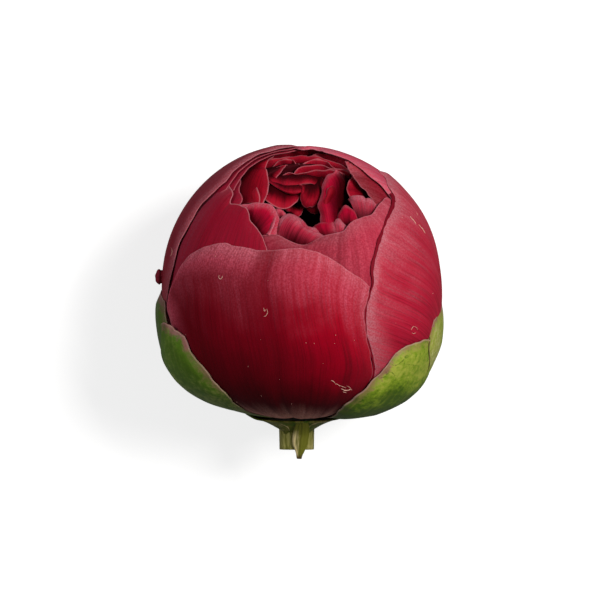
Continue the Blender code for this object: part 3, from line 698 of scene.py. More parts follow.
HEART_ROSE = {
    "left_cup": (
        [(238, 206, 14.4), (243, 206, 15), (250, 204.9, 15.6), (258, 204.3, 16.2)]
        + [(265, 204.7, 16.6), (272.8, 207.2, 17), (277.6, 214.2, 17.6), (280.8, 222.3, 18.4)]
        + [(279.6, 228, 19), (277, 234, 19.6), (274, 242, 20), (270, 250, 19.6)],
        [(243, 215, 15.6), (253, 215, 17.2), (262, 220, 18.6), (266, 230, 19.9), (263, 248, 20.6)],
        [(240, 228, 16.6), (248, 238, 18), (256, 250, 18.8)],
    ),
    "cup_fold": (
        [(276.6, 219, 19), (275.6, 223, 19.7), (274.4, 227, 20.3), (272.6, 231, 20.6), (270, 237, 20.7)],
        [(273.6, 219, 18.6), (272, 227, 20), (267.6, 236, 20.5)],
        [(270, 221, 17.6), (268, 228, 18.8), (264, 238, 19.4)],
    ),
    "left_curl": (
        [(273, 214, 15.4), (276, 211.6, 16.2), (280, 210, 16.5), (284, 210.8, 16.5), (285.8, 214.5, 16.5)]
        + [(285, 219, 16.2)],
        [(276, 218, 16.8), (281, 215.4, 17.1), (284, 219, 16.9)],
        [(279, 228, 15), (282, 227, 15), (285, 228, 15)],
    ),
    "centre_upright": (
        [(325, 232, 15.6), (321, 224.4, 15.7), (318.6, 216.6, 15.4), (318.4, 209, 15)]
        + [(319.8, 202.6, 14.5), (320.9, 197, 13.8), (320.4, 191.6, 13.1), (321, 189, 12.7)]
        + [(323.4, 185.6, 12.2), (324.2, 181.2, 11.6), (326.3, 178, 11.1), (331, 174.2, 10.4)]
        + [(334.7, 170, 9.6)],
        [(336, 233, 17.2), (331.6, 214, 16.5), (330.4, 200, 15.1), (333.6, 187, 13), (337.6, 172.4, 9.9)],
        [(350, 232, 8.6), (349.4, 214, 7.8), (349, 200, 7), (347.6, 187, 6.2), (342, 176, 6.6)],
    ),
    "front_tuck": (
        [(333, 226, 14.8), (336, 218.8, 15), (340.3, 212.2, 15), (344.9, 206.6, 14.8), (351.8, 209.5, 14.8)]
        + [(356.4, 214.4, 15.2), (360, 221, 15.8), (362, 228, 16)],
        [(338, 228, 17), (346, 218, 17.4), (358, 228, 17.8)],
        [(342, 242, 16.6), (350, 242, 16.8), (358, 242, 16.6)],
    ),
    "front_roll_right": (
        [(309, 231, 15.8), (313, 227, 16.2), (317, 224.8, 16.3), (321, 223.4, 16.3), (327, 222.9, 16.3)]
        + [(332.6, 222.6, 16.5), (337, 223.6, 16.6)],
        [(313, 238, 18.8), (322, 231.6, 19.4), (336, 232, 19.4)],
        [(318, 250, 18.8), (330, 248, 18.8), (342, 248, 18.6)],
    ),
}

HEART_FRONT = {
    "right_pale_lobe": (
        [(362.6, 202, 13), (365.6, 200, 12.8), (369.2, 200, 12.5), (374.4, 202.6, 12), (378, 205.8, 11.6)]
        + [(381, 210, 11.4)],
        [(363, 210, 15), (369, 208.6, 14.6), (378, 211, 13.2)],
        [(362, 226, 16), (368, 225, 15.8), (376, 222, 14.6)],
    ),
    "right_pale": (
        [(347.6, 201, 12.6), (349.9, 198.4, 13.3), (353.4, 197.2, 13.5)]
        + [(358, 196.9, 13.4), (362.4, 197.4, 13.2), (365.6, 200.6, 12.8)],
        [(352, 208, 15.2), (357, 206.6, 15.8), (361, 207, 15.5), (364.6, 209, 14.6)],
        [(358, 226, 16.6), (361, 226, 17), (364, 226, 16.6)],
    ),
    "front_roll_left": (
        [(273, 238, 18), (277, 228, 18), (281.6, 219.6, 17.5), (286.4, 216.1, 17.1)]
        + [(291, 215, 16.8), (295.6, 215.5, 16.7), (299, 217.4, 16.7), (301.4, 220, 16.7)]
        + [(303, 224, 16.8), (305.4, 227, 17.1), (309.4, 229.2, 17.5), (317.4, 232.6, 18.2)]
        + [(326, 236.2, 19), (332, 239, 19.4)],
        [(277, 244, 20.2), (282, 231, 20.4), (290, 226, 20.6)]
        + [(299, 230, 20.9), (309, 237, 21.2), (324, 243, 21.2)],
        [(276, 250, 19.4), (290, 252, 20), (302, 253, 20.4), (320, 254, 20.2)],
    ),
    "front_roll_inner": (
        [(296, 232, 18), (297.4, 224, 17.4), (300.8, 219.6, 16.8), (304, 222.4, 16.7), (306, 226, 16.9)]
        + [(311, 227.4, 17), (316, 230, 17.4), (322, 235, 18)],
        [(298, 236, 20), (302, 229, 19.9), (309, 233, 20.2), (319, 239, 20.4)],
        [(298, 250, 18.8), (306, 250, 19), (316, 250, 19)],
    ),
    "front_roll_end": (
        [(330, 228, 16.6), (334, 222.8, 16.7), (338.2, 220.9, 16.8)]
        + [(342.8, 224.6, 17.2), (346.4, 229.4, 17.8), (348, 236, 18)],
        [(333, 234, 19.2), (339, 229, 19.5), (345, 236, 19.6)],
        [(336, 250, 18.4), (342, 249, 18.4), (348, 248, 18.4)],
    ),
}

UPRIGHT = ("centre_upright", "centre_fold", "left_upright", "left_fold")
# How far the veins of the rolled petals slant
SLANTS = {"front_roll_left": -0.8, "front_roll_inner": -0.5, "left_cup": 0.4}

CORE_DEPTH = 4 * LAYER
BOWL_CENTRE = (310.0, 205.0, 13.5)
BOWL_RADIUS = 11.6 * MM

HEART_GRID = (72, 44)
HEART_EDGE = 0.1 * MM
HEART_THICKNESS = 0.32 * MM


def in_view(u, v, height):
    """The point that shows at a pixel, height in mm above the bud's middle."""
    x = (u - MIDDLE_PIXEL[0]) * PIXEL
    y = (MIDDLE_PIXEL[1] - v) * PIXEL
    return MIDDLE + np.array((x, y, height * MM))


# Ruffles of a heart petal in mm: their length, how far down from the rim they reach and the thin rim's depth
RUFFLE_WAVE = 3.6
RUFFLE_REACH = 2.2
RIM_REACH = 1.5


def ruffled_petal(name, rows_given, columns, rows, edge, thickness, ruffle, seed, upright=False, slant=0.0):
    """A thin petal swept from its rim over its belly to its root, ruffled at the rim.

    An upright one stands with a side as its rim, so its veins run along the rim. Slant leans the veins over.
    """
    across = eased(columns, 0.3)
    down = np.linspace(0, 1, rows) ** 1.3
    rim, belly, root = (smooth_line([in_view(*p) for p in row], across) for row in rows_given)
    d = down[::-1, None, None]
    sheet = rim * (1 - d) ** 2 + (belly * 2 - (rim + root) / 2) * 2 * d * (1 - d) + root * d**2

    steps = np.linalg.norm(np.diff(sheet, axis=1), axis=2) / MM
    from_left = np.concatenate([np.zeros((rows, 1)), np.cumsum(steps, axis=1)], axis=1)
    climbs = np.linalg.norm(np.diff(sheet, axis=0), axis=2) / MM
    from_root = np.concatenate([np.zeros((1, columns)), np.cumsum(climbs, axis=0)], axis=0)
    from_rim = from_root[-1:] - from_root
    flow = np.stack([np.broadcast_to(across * from_left[-1, -1], from_rim.shape), from_root], axis=-1)

    def normals(points):
        along = np.gradient(points, axis=1)
        upward = np.gradient(points, axis=0)
        return unit(np.cross(along, upward) + 1e-12)

    wave = waves(np.stack([flow[..., 0], flow[..., 1] * 0.25], axis=-1), RUFFLE_WAVE, seed)
    sheet = sheet + normals(sheet) * (wave * ruffle * np.exp(-from_rim / RUFFLE_REACH))[..., None]
    facing = normals(sheet)
    sides = np.minimum(from_left, from_left[:, -1:] - from_left)
    margin = np.minimum(from_rim, sides + 0.25)
    wall = (edge + (thickness - edge) * (1 - np.exp(-from_rim / RIM_REACH)))[..., None]
    rise = np.broadcast_to(1 - down[::-1, None], from_rim.shape)
    flow[..., 0] += flow[..., 1] * slant
    if upright:
        flow = flow[..., ::-1]
    fields = {"margin": margin, "rise": rise}
    return closed_sheet(name, sheet + facing * wall / 2, sheet - facing * wall / 2, flow, fields)


def linear(code):
    """A linear colour from the sRGB hex code that a picture shows."""
    shares = [int(code[i : i + 2], 16) / 255 for i in (1, 3, 5)]
    return tuple(s / 12.92 if s <= 0.04045 else ((s + 0.055) / 1.055) ** 2.4 for s in shares) + (1.0,)


MATH = "ShaderNodeMath"
RANGE = "ShaderNodeMapRange"
MIX = "ShaderNodeMix"
SMOOTH = {"interpolation_type": "SMOOTHSTEP"}
AS_COLOUR = {"data_type": "RGBA"}


def node(tree, kind, inputs=(), output=None, **settings):
    """Adds a node with its settings and inputs, and gives one of its outputs, or else the first in use.

    An input is an output to link or a plain value, given by name or in the order of the sockets in use.
    """
    made = tree.nodes.new(kind)
    for key, value in settings.items():
        setattr(made, key, value)
    if isinstance(inputs, dict):
        given = [(made.inputs[key], value) for key, value in inputs.items()]
    else:
        given = zip([socket for socket in made.inputs if socket.enabled], inputs)
    for socket, value in given:
        if isinstance(value, bpy.types.NodeSocket):
            tree.links.new(value, socket)
        else:
            socket.default_value = value
    if output:
        return made.outputs[output]
    return next((socket for socket in made.outputs if socket.enabled), None)


def noise(tree, vector, stretch, detail=2.0, roughness=0.5):
    """Noise with the given number of features to a unit along each axis."""
    mapped = node(tree, "ShaderNodeMapping", {"Vector": vector, "Scale": stretch})
    inputs = {"Vector": mapped, "Scale": 1.0, "Detail": detail, "Roughness": roughness}
    return node(tree, "ShaderNodeTexNoise", inputs, "Fac")


def nudged(tree, value, pattern, strength):
    """A value moved up and down by a noise that lies about a half."""
    off = node(tree, MATH, (pattern, 0.5), operation="SUBTRACT")
    push = node(tree, MATH, (off, strength), operation="MULTIPLY")
    return node(tree, MATH, (value, push), operation="ADD")


def held(tree, value, by, *span):
    """A value times another one that passes smoothly over a span: from low, from high, to low, to high."""
    share = node(tree, RANGE, (by, *span), **SMOOTH)
    return node(tree, MATH, (value, share), operation="MULTIPLY")


def laid(tree, colour, over, by, *span):
    """A colour with another one laid over it as a value passes smoothly over a span."""
    share = node(tree, RANGE, (by, *span), **SMOOTH)
    return node(tree, MIX, (share, colour, over), **AS_COLOUR)


def bare_material(name):
    """A new material and its tree."""
    made = bpy.data.materials.new(name)
    made.use_nodes = True
    return made, made.node_tree


def finished(made, colour, values, relief=None, height=0.0):
    """A material with its colour, the plain values of its shader and a relief of a height in metres."""
    tree = made.node_tree
    surface = tree.nodes["Principled BSDF"].inputs
    tree.links.new(colour, surface["Base Color"])
    if relief is not None:
        bump = node(tree, "ShaderNodeBump", {"Strength": 0.5, "Distance": height, "Height": relief})
        tree.links.new(bump, surface["Normal"])
    for key, value in values.items():
        surface[key].default_value = value
    return made


def petal_skin(
    name, base, body, bloom_and_sheen, rim, level=0.7, sides=0.6, streak=0.5, edge=0.3, dark=0.05, vein=0.3, pale=0.5,
    foot=0.0, reach=5.5, painted_light_lean=0.0, shade_spans=(12, 40), blend=0.22, band=None, straw=None, sheen=0.02
):
    """Peony petal: satin crimson, dusted with a powdery bloom in flame-like streaks towards its margins.

    Level is the share of the petal's height where the bloom sets in and dark where its body turns to the
    base's colour, which is partly the petal's own maroon at its foot and partly painted shade. The bloom is
    partly the petal's own powdery dusting and partly painted sheen and highlight. Sides, streak, edge, vein,
    pale and foot are how strong the bloom at the sides, its flames, the thin margin, the veins, the bloom's
    paleness at the sides and the painted straw sheen at the foot are, and reach how far in mm the bloom at
    the sides goes. The lean is painted shade for light that falls from the right: how much duller and darker
    the petal is at its left than at its right, or how much less bloom it has at its right if the lean is
    negative, between the two places in mm of spans. Blend is how softly the bloom sets in, and band the
    place, half width and strength of a painted shadow beside a crease, where the bloom is thinner.
    """
    made, tree = bare_material(name)
    rise = node(tree, "ShaderNodeAttribute", output="Fac", attribute_name="rise")
    margin = node(tree, "ShaderNodeAttribute", output="Fac", attribute_name="margin")
    flow = node(tree, "ShaderNodeUVMap", uv_map="flow")
    place = node(tree, "ShaderNodeTexCoord", output="Object")
    # Flames about 2 mm wide and streaks about 0.8 mm wide, which run with the veins
    flames = noise(tree, flow, (0.46, 0.025, 1), 3)
    streaks = noise(tree, flow, (1.2, 0.05, 1), 2)
    # Fine veins about 0.3 mm apart
    veins = noise(tree, flow, (3.4, 0.1, 1), 0.6, 0.5)
    # Clouds of 8 mm and a grain of 0.3 mm
    cloud = noise(tree, place, (130, 130, 130), 3)
    grain = noise(tree, place, (3200, 3200, 3200), 1)
    flare = node(tree, RANGE, (flames, 0.3, 0.7, -0.08 * streak, 0.08 * streak), **SMOOTH)
    climb = node(tree, MATH, (rise, flare), operation="ADD")
    climb = nudged(tree, climb, streaks, streak * 0.35)
    climb = nudged(tree, climb, cloud, 0.3)
    top = node(tree, RANGE, (climb, level - blend, level + blend), **SMOOTH)
    top = held(tree, top, flames, 0.35, 0.62, 1 - 0.5 * streak, 1.0)
    top = held(tree, top, streaks, 0.35, 0.65, 1 - 0.3 * streak, 1.0)
    # Bloom along the margins: partly the petal's own dusting, partly painted sheen towards its edges
    side = node(tree, RANGE, (margin, 0.3, reach, sides, 0.0), **SMOOTH)
    side = held(tree, side, rise, 0.25, 0.8, 0.12, 1.0)
    if painted_light_lean or band:
        beside = node(tree, "ShaderNodeSeparateXYZ", (flow,), "X")
    # Painted shade across the petal: darker and duller towards the side away from the light
    if painted_light_lean:
        ends = (0.0, 1.0) if painted_light_lean > 0 else (1.0, 0.0)
        lit = node(tree, RANGE, (beside, *shade_spans, *ends), **SMOOTH)
        top = held(tree, top, lit, 0, 1, 1 - abs(painted_light_lean), 1.0)
        side = held(tree, side, lit, 0, 1, 1.0, 0.1)
        body = laid(tree, body, base, lit, 0.35, 1, max(painted_light_lean, 0.0) * 1.2, 0.0)
    bloom = node(tree, MATH, (top, side), operation="MAXIMUM")
    # Painted shadow beside the crease: the bloom thins in a band there
    if band:
        middle, half_width, strength = band
        off = node(tree, MATH, (beside, middle), operation="SUBTRACT")
        off = node(tree, MATH, (off,), operation="ABSOLUTE")
        bloom = held(tree, bloom, off, 0.2 * half_width, half_width, 1 - strength, 1.0)
    bloom = held(tree, bloom, grain, 0.3, 0.7, 0.5, 1.0)
    bloom = held(tree, bloom, veins, 0.35, 0.65, 0.7, 1.0)
    # Darker towards the foot: partly the petal's own maroon, partly painted shade
    colour = laid(tree, base, body, climb, dark, level - 0.1)
    colour = laid(tree, colour, base, veins, 0.45, 0.68, 0.0, vein)
    # The bloom's colour: partly the petal's own, partly painted sheen and highlight
    bloom_and_sheen_colour = laid(tree, bloom_and_sheen, rim, margin, 0.3, 4, pale, 0.0)
    colour = node(tree, MIX, (bloom, colour, bloom_and_sheen_colour), **AS_COLOUR)
    colour = laid(tree, colour, rim, margin, 0.05, 0.32, edge, 0.0)
    # Painted sheen and light on the front petal's foot, which lies in shade under the bud
    if straw:
        painted_sheen = nudged(tree, rise, flames, 0.16)
        painted_sheen = node(tree, RANGE, (painted_sheen, 0.08, 0.33, foot, 0.0), **SMOOTH)
        painted_sheen = held(tree, painted_sheen, grain, 0.3, 0.7, 0.5, 1.0)
        colour = node(tree, MIX, (painted_sheen, colour, straw), **AS_COLOUR)
    relief = node(tree, MATH, (grain, 0.35), operation="MULTIPLY")
    relief = node(tree, MATH, (veins, relief), operation="ADD")
    values = {
        "Roughness": 0.6,
        "Specular IOR Level": 0.04,
        "Sheen Weight": sheen,
        "Sheen Roughness": 0.35,
        "Sheen Tint": rim,
        "Subsurface Weight": 0.1,
        "Subsurface Radius": (1.0, 0.2, 0.15),
        "Subsurface Scale": 0.6 * MM,
    }
    return finished(made, colour, values, relief, 0.05 * MM)


def sepal_skin(name, dark, body, light, rim, pale_rim, edge=0.6, fade=0.0, blade=True):
    """Leathery sepal: mottled green with fine long veins and dark hair lines.

    A blade has a purple blush and a thin pale margin too, and fade is how much lighter it is towards its tip.
    """
    made, tree = bare_material(name)
    place = node(tree, "ShaderNodeTexCoord", output="Object")
    if blade:
        rise = node(tree, "ShaderNodeAttribute", output="Fac", attribute_name="rise")
        margin = node(tree, "ShaderNodeAttribute", output="Fac", attribute_name="margin")
        flow = node(tree, "ShaderNodeUVMap", uv_map="flow")
        veins = noise(tree, flow, (1.1, 0.06, 1), 3, 0.6)
    else:
        veins = noise(tree, place, (900, 200, 900), 3, 0.6)
    # Patches of 6 mm and mottles of 1 mm, with pores of 0.5 mm between
    cloud = noise(tree, place, (170, 170, 170), 2, 0.5)
    mottles = noise(tree, place, (1000, 1000, 1000), 3, 0.65)
    pores = noise(tree, place, (1900, 1900, 1900), 2)
    broad = node(tree, MATH, (cloud, 0.35), operation="MULTIPLY")
    fine = node(tree, MATH, (mottles, 0.4), operation="MULTIPLY")
    tone = node(tree, MATH, (broad, fine), operation="ADD")
    tone = node(tree, MATH, (tone, 0.1), operation="ADD")
    if blade:
        paler = node(tree, RANGE, (rise, 0.45, 0.85, -fade, 0.7 * fade), **SMOOTH)
        tone = node(tree, MATH, (tone, paler), operation="ADD")
    greens = node(tree, "ShaderNodeValToRGB", (tone,))
    stops = greens.node.color_ramp.elements
    stops.new(0.5)
    for stop, level, green in zip(stops, (0.38, 0.49, 0.6), (dark, body, light)):
        stop.position = level
        stop.color = green
    colour = laid(tree, greens, light, veins, 0.5, 0.72, 0.0, 0.3)
    colour = laid(tree, colour, dark, pores, 0.55, 0.75, 0.0, 0.35)
    # Dark hair lines that wander over the blade, where a slow noise passes its middle
    wander = noise(tree, place, (210, 210, 210), 1)
    wander = node(tree, MATH, (wander, 0.5), operation="SUBTRACT")
    wander = node(tree, MATH, (wander,), operation="ABSOLUTE")
    lines = node(tree, RANGE, (wander, 0.002, 0.012, 0.7, 0.0), **SMOOTH)
    lines = held(tree, lines, pores, 0.35, 0.55)
    colour = node(tree, MIX, (lines, colour, dark), **AS_COLOUR)
    if blade:
        wide = nudged(tree, margin, mottles, -4)
        blush = node(tree, RANGE, (wide, 0.2, 1.8, 0.8, 0.0), **SMOOTH)
        blush = held(tree, blush, cloud, 0.35, 0.6, 0.35, 1)
        blush = held(tree, blush, rise, 0.25, 0.95, 0.2, 1.0)
        colour = node(tree, MIX, (blush, colour, rim), **AS_COLOUR)
        colour = laid(tree, colour, pale_rim, margin, 0.02, 0.3, edge, 0.0)
    relief = node(tree, MATH, (pores, 0.4), operation="MULTIPLY")
    relief = node(tree, MATH, (veins, relief), operation="ADD")
    values = {
        "Roughness": 0.5,
        "Specular IOR Level": 0.2,
        "Subsurface Weight": 0.08,
        "Subsurface Radius": (0.4, 1.0, 0.2),
        "Subsurface Scale": 0.6 * MM,
    }
    return finished(made, colour, values, relief, 0.09 * MM)


def stem_skin(name, green, pale, straw):
    """Herbaceous stem: satin olive with paler fibres 0.6 mm apart and straw patches of 3 mm."""
    made, tree = bare_material(name)
    place = node(tree, "ShaderNodeTexCoord", output="Object")
    grain = noise(tree, place, (1600, 160, 1600), 3, 0.6)
    cloud = noise(tree, place, (300, 300, 300), 3)
    colour = laid(tree, green, pale, grain, 0.35, 0.7)
    colour = laid(tree, colour, straw, cloud, 0.5, 0.7, 0.0, 0.5)
    values = {"Roughness": 0.55, "Specular IOR Level": 0.2}
    return finished(made, colour, values, grain, 0.1 * MM)


def bract_skin(name, green, pale, brown):
    """Papery bract: green at its foot and down its right side, straw at its left, brown at its dried tip."""
    made, tree = bare_material(name)
    rise = node(tree, "ShaderNodeAttribute", output="Fac", attribute_name="rise")
    beside = node(tree, "ShaderNodeAttribute", output="Fac", attribute_name="beside")
    flow = node(tree, "ShaderNodeUVMap", uv_map="flow")
    fibres = noise(tree, flow, (3.5, 0.5, 1), 3)
    patch = nudged(tree, beside, fibres, 1.6)
    climb = nudged(tree, rise, fibres, 0.3)
    blade = laid(tree, pale, green, patch, -0.8, 0.0)
    blade = laid(tree, blade, green, climb, 0.5, 0.8)
    colour = laid(tree, brown, blade, climb, 0.0, 0.14)
    return finished(made, colour, {"Roughness": 0.6, "Specular IOR Level": 0.2})


def plain_skin(name, colour, roughness):
    """An even matt surface, for the floor and for what is too small to show a pattern."""
    made, tree = bare_material(name)
    surface = tree.nodes["Principled BSDF"].inputs
    surface["Base Color"].default_value = colour
    surface["Roughness"].default_value = roughness
    surface["Specular IOR Level"].default_value = 0.1
    return made


def put_in(name, mesh, surface, slot, *stands_for):
    """A finished piece of the bud: its object, material, body and the solids that it stands for."""
    piece = bpy.data.objects.new(name, mesh)
    mesh.materials.clear()
    mesh.materials.append(surface)
    bpy.context.scene.collection.objects.link(piece)
    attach(piece, "root")
    if stands_for:
        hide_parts(*stands_for)
    return piece


def joined(name, meshes):
    """Several meshes with the same UVs and attributes as one."""
    bm = bmesh.new()
    for mesh in meshes:
        bm.from_mesh(mesh)
    whole = bpy.data.meshes.new(name)
    bm.to_mesh(whole)
    bm.free()
    whole.shade_smooth()
    return whole


def size_property(name, description, default):
    """A length that a user would change."""
    return FloatProperty(name=name, description=description, default=default, unit="LENGTH")


class PeonySizes(PropertyGroup):
    """Sizes that a user would change."""

    petal_thickness: size_property("Petal thickness", "Wall of a guard petal away from its margin", 0.42 * MM)
    petal_edge: size_property("Petal margin", "Wall of a guard petal at its margin", 0.13 * MM)
    petal_tuck: size_property("Margin tuck", "How far a margin bends down to the next petal", 0.38 * MM)
    petal_sway: size_property("Petal sway", "Height of a petal's slow waves", 0.1 * MM)
    sepal_thickness: size_property("Sepal thickness", "Wall of a sepal away from its margin", 0.75 * MM)
    sepal_tuck: size_property("Sepal tuck", "How far a sepal's margin bends down to the petals", 0.75 * MM)
    ruffle: size_property("Heart ruffle", "Height of the ruffles on the heart's rims", 0.28 * MM)
    stem_radius: size_property("Stem radius", "Radius of the cut stem", 3.2 * MM)
    stem_ribs: IntProperty(name="Stem ribs", description="Shallow ribs round the stem", default=9)


def colour_property(name, description, code):
    """A colour that a user would change, given by its hex code."""
    return FloatVectorProperty(
        name=name, description=description, subtype="COLOR", size=4, min=0, max=1, default=linear(code)
    )


class PeonyColours(PropertyGroup):
    """Colours that a user would change."""

    # Partly painted shade: the petals turn to this maroon towards the foot and on their darker side
    petal_base: colour_property("Petal base", "Maroon at the foot of a petal", "#42030A")
    petal_rim: colour_property("Petal rim", "Pale pink of a thin margin", "#BE7A84")
    front_body: colour_property("Front body", "Crimson of the front petal", "#9C001C")
    # Each petal's bloom colour is partly its own dusting and partly painted sheen and highlight
    front_dust: colour_property("Front bloom", "Dusty rose of the front petal's bloom", "#D0546A")
    # Painted light: the right petal's colours are lighter because it faces the light from the right
    right_body: colour_property("Right body", "Rose of the right petal", "#AE1A34")
    right_dust: colour_property("Right bloom", "Salmon bloom of the right petal", "#C66270")
    # Painted shadow: the dark strip under the right petal's margin
    fold_body: colour_property("Turned margin", "Deep red of the right petal's turned margin", "#76061C")
    # Painted shade: the left petal's colours are darker because it turns away from the light
    left_body: colour_property("Left body", "Dusky red of the left petal", "#7C1626")
    left_dust: colour_property("Left bloom", "Mauve bloom of the left petal", "#86303E")
    back_body: colour_property("Back body", "Rose of the petal behind the opening", "#D03250")
    back_dust: colour_property("Back bloom", "Bloom of the petal behind the opening", "#C8687C")
    bright_body: colour_property("Inner right body", "Crimson of the petal inside the right one", "#A80218")
    bright_dust: colour_property("Inner right bloom", "Bloom of the petal inside the right one", "#C84458")
    folded_body: colour_property("Folded body", "Inner petal of the left, where its bloom is thin", "#8E0824")
    folded_dust: colour_property("Folded bloom", "Inner petal of the left, bloom", "#8E3C4E")
    shade_body: colour_property("Second left body", "Crimson of the petal inside the left one", "#8C0A26")
    shade_dust: colour_property("Second left bloom", "Bloom of the petal inside the left one", "#98203A")
    second_body: colour_property("Second body", "Rose of the petal inside the front one", "#A01C34")
    second_dust: colour_property("Second bloom", "Bloom of the petal inside the front one", "#C8485C")
    # Partly painted shade: the heart's petals turn to this dark red deep among the others
    heart_base: colour_property("Heart base", "Dark red at the foot of a ruffled petal", "#380006")
    heart_body: colour_property("Heart body", "Crimson of the ruffled petals", "#9C0820")
    heart_dust: colour_property("Heart bloom", "Rose towards a ruffled rim", "#B83048")
    side_body: colour_property("Side body", "Upright petals at the heart's left, body", "#98081E")
    side_dust: colour_property("Side bloom", "Upright petals at the heart's left, bloom", "#B03048")
    rose_body: colour_property("Rose body", "Crimson of the heart's dusty petals", "#AC0A2E")
    rose_dust: colour_property("Rose bloom", "Rose bloom of the heart's dusty petals", "#BC4A60")
    roll_body: colour_property("Roll body", "Dusty rose of the rolls at the opening's front", "#A42038")
    # Partly painted highlight on the tops of the rolls
    roll_dust: colour_property("Roll bloom", "Pale pink bloom of the rolls", "#D67A8A")
    # Painted shade in the deep gaps between the heart's petals
    hollow: colour_property("Hollow", "Dark core between the ruffled petals", "#3A0008")
    sepal_dark: colour_property("Sepal dark", "Deep green between the sepal's veins", "#44600A")
    sepal_body: colour_property("Sepal body", "Green of a sepal", "#78901E")
    sepal_light: colour_property("Sepal light", "Yellow-green mottle of a sepal", "#A2AA40")
    # Painted shade: the left sepals' greens are darker because they face away from the light
    shaded_body: colour_property("Left sepal body", "Deeper green of the left sepals", "#4C6A12")
    dull_body: colour_property("Dull body", "Outer sepal of the left, main green", "#3E5416")
    shaded_outer_light: colour_property("Dull light", "Outer sepal of the left, paler mottles", "#5A6A38")
    shaded_light: colour_property("Left sepal light", "Grey-green mottle of the left sepals", "#788A38")
    # Painted light: the outer right sepal's greens are lighter because the light falls on its side
    outer_body: colour_property("Outer sepal body", "Yellow-green of the outer right sepal", "#9A9E44")
    outer_light: colour_property("Outer sepal light", "Pale mottle of the outer right sepal", "#C2C080")
    # Painted sheen and light for the front petal's foot, which lies in shade
    painted_foot_sheen: colour_property("Foot sheen", "Worn sheen at the foot of the front petal", "#F0A898")
    sepal_edge: colour_property("Sepal edge", "Thin pale margin of the sepals", "#B48C84")
    sepal_rim: colour_property("Sepal rim", "Pink-brown of a sepal's margin", "#844650")
    stem_green: colour_property("Stem", "Olive of the stem", "#64641A")
    stem_pale: colour_property("Stem pale", "Pale ribs of the stem", "#A8A25C")
    bract_pale: colour_property("Bract", "Straw of the bract", "#B8A878")
    bract_brown: colour_property("Bract tip", "Brown of the bract's dried tip", "#4A3420")
    scar: colour_property("Scar", "Cream of the scratches and curls on the petals", "#D0A090")


def sizes():
    return bpy.context.scene.peony_sizes


def colours():
    return bpy.context.scene.peony_colours


def petal_colours(kind, base="petal_base"):
    """The base, body, bloom and rim of one kind of petal."""
    # The base is partly painted shade, and the bloom partly painted sheen and highlight
    c = colours()
    return tuple(getattr(c, name)[:] for name in (base, kind + "_body", kind + "_dust", "petal_rim"))


def sepal_colours(dark, body, light):
    """The three greens of one kind of sepal, with its blush and the pale line at its margin."""
    c = colours()
    return tuple(getattr(c, name)[:] for name in (dark, body, light, "sepal_rim", "sepal_edge"))


LOBE_CENTRE = (160.2, 277.0, 1.0)
LOBE_HALF_SIZE = (0.9 * MM, 1.45 * MM, 1.2 * MM)


def bumpy_ball(name, centre, half_size):
    """A small curled lobe: a ball with a fold, which carries the same fields as a petal."""
    bm = bmesh.new()
    bmesh.ops.create_uvsphere(bm, u_segments=40, v_segments=24, radius=1)
    for vertex in bm.verts:
        toward = np.array(vertex.co)
        fold = 1 - 0.16 * math.exp(-(((toward[0] - 0.2) / 0.22) ** 2)) + 0.04 * math.sin(toward[1] * 9)
        vertex.co = centre + toward * half_size * fold
    mesh = bpy.data.meshes.new(name)
    bm.to_mesh(mesh)
    bm.free()
    mesh.uv_layers.new(name="flow")
    values = np.zeros(len(mesh.vertices), np.float32)
    for field, level in (("margin", 3.0), ("rise", 0.6)):
        mesh.attributes.new(field, "FLOAT", "POINT").data.foreach_set("value", values + np.float32(level))
    mesh.shade_smooth()
    return mesh


# Points across and up each sheet
PETAL_GRID = (100, 100)
FINE_GRIDS = {"petal_back": (50, 60), "petal_left_inner": (60, 90)}
RIM_GRID = (90, 40)
SHADOW_STRIP_GRID = (16, 140)
SEPAL_GRID = (80, 70)

# Tucks and sways of the narrow sheets, and the walls of the dark strip of painted shadow under the right
# petal's margin and of the sepals' margins
RIM_TUCK = 0.2 * MM
RIM_SWAY = 0.08 * MM
SHADOW_STRIP_WALL = (0.2 * MM, 0.15 * MM)
SHADOW_STRIP_TUCK = 0.05 * MM
SHADOW_STRIP_SWAY = 0.04 * MM
SEPAL_EDGE = 0.22 * MM
SEPAL_SWAY = 0.1 * MM


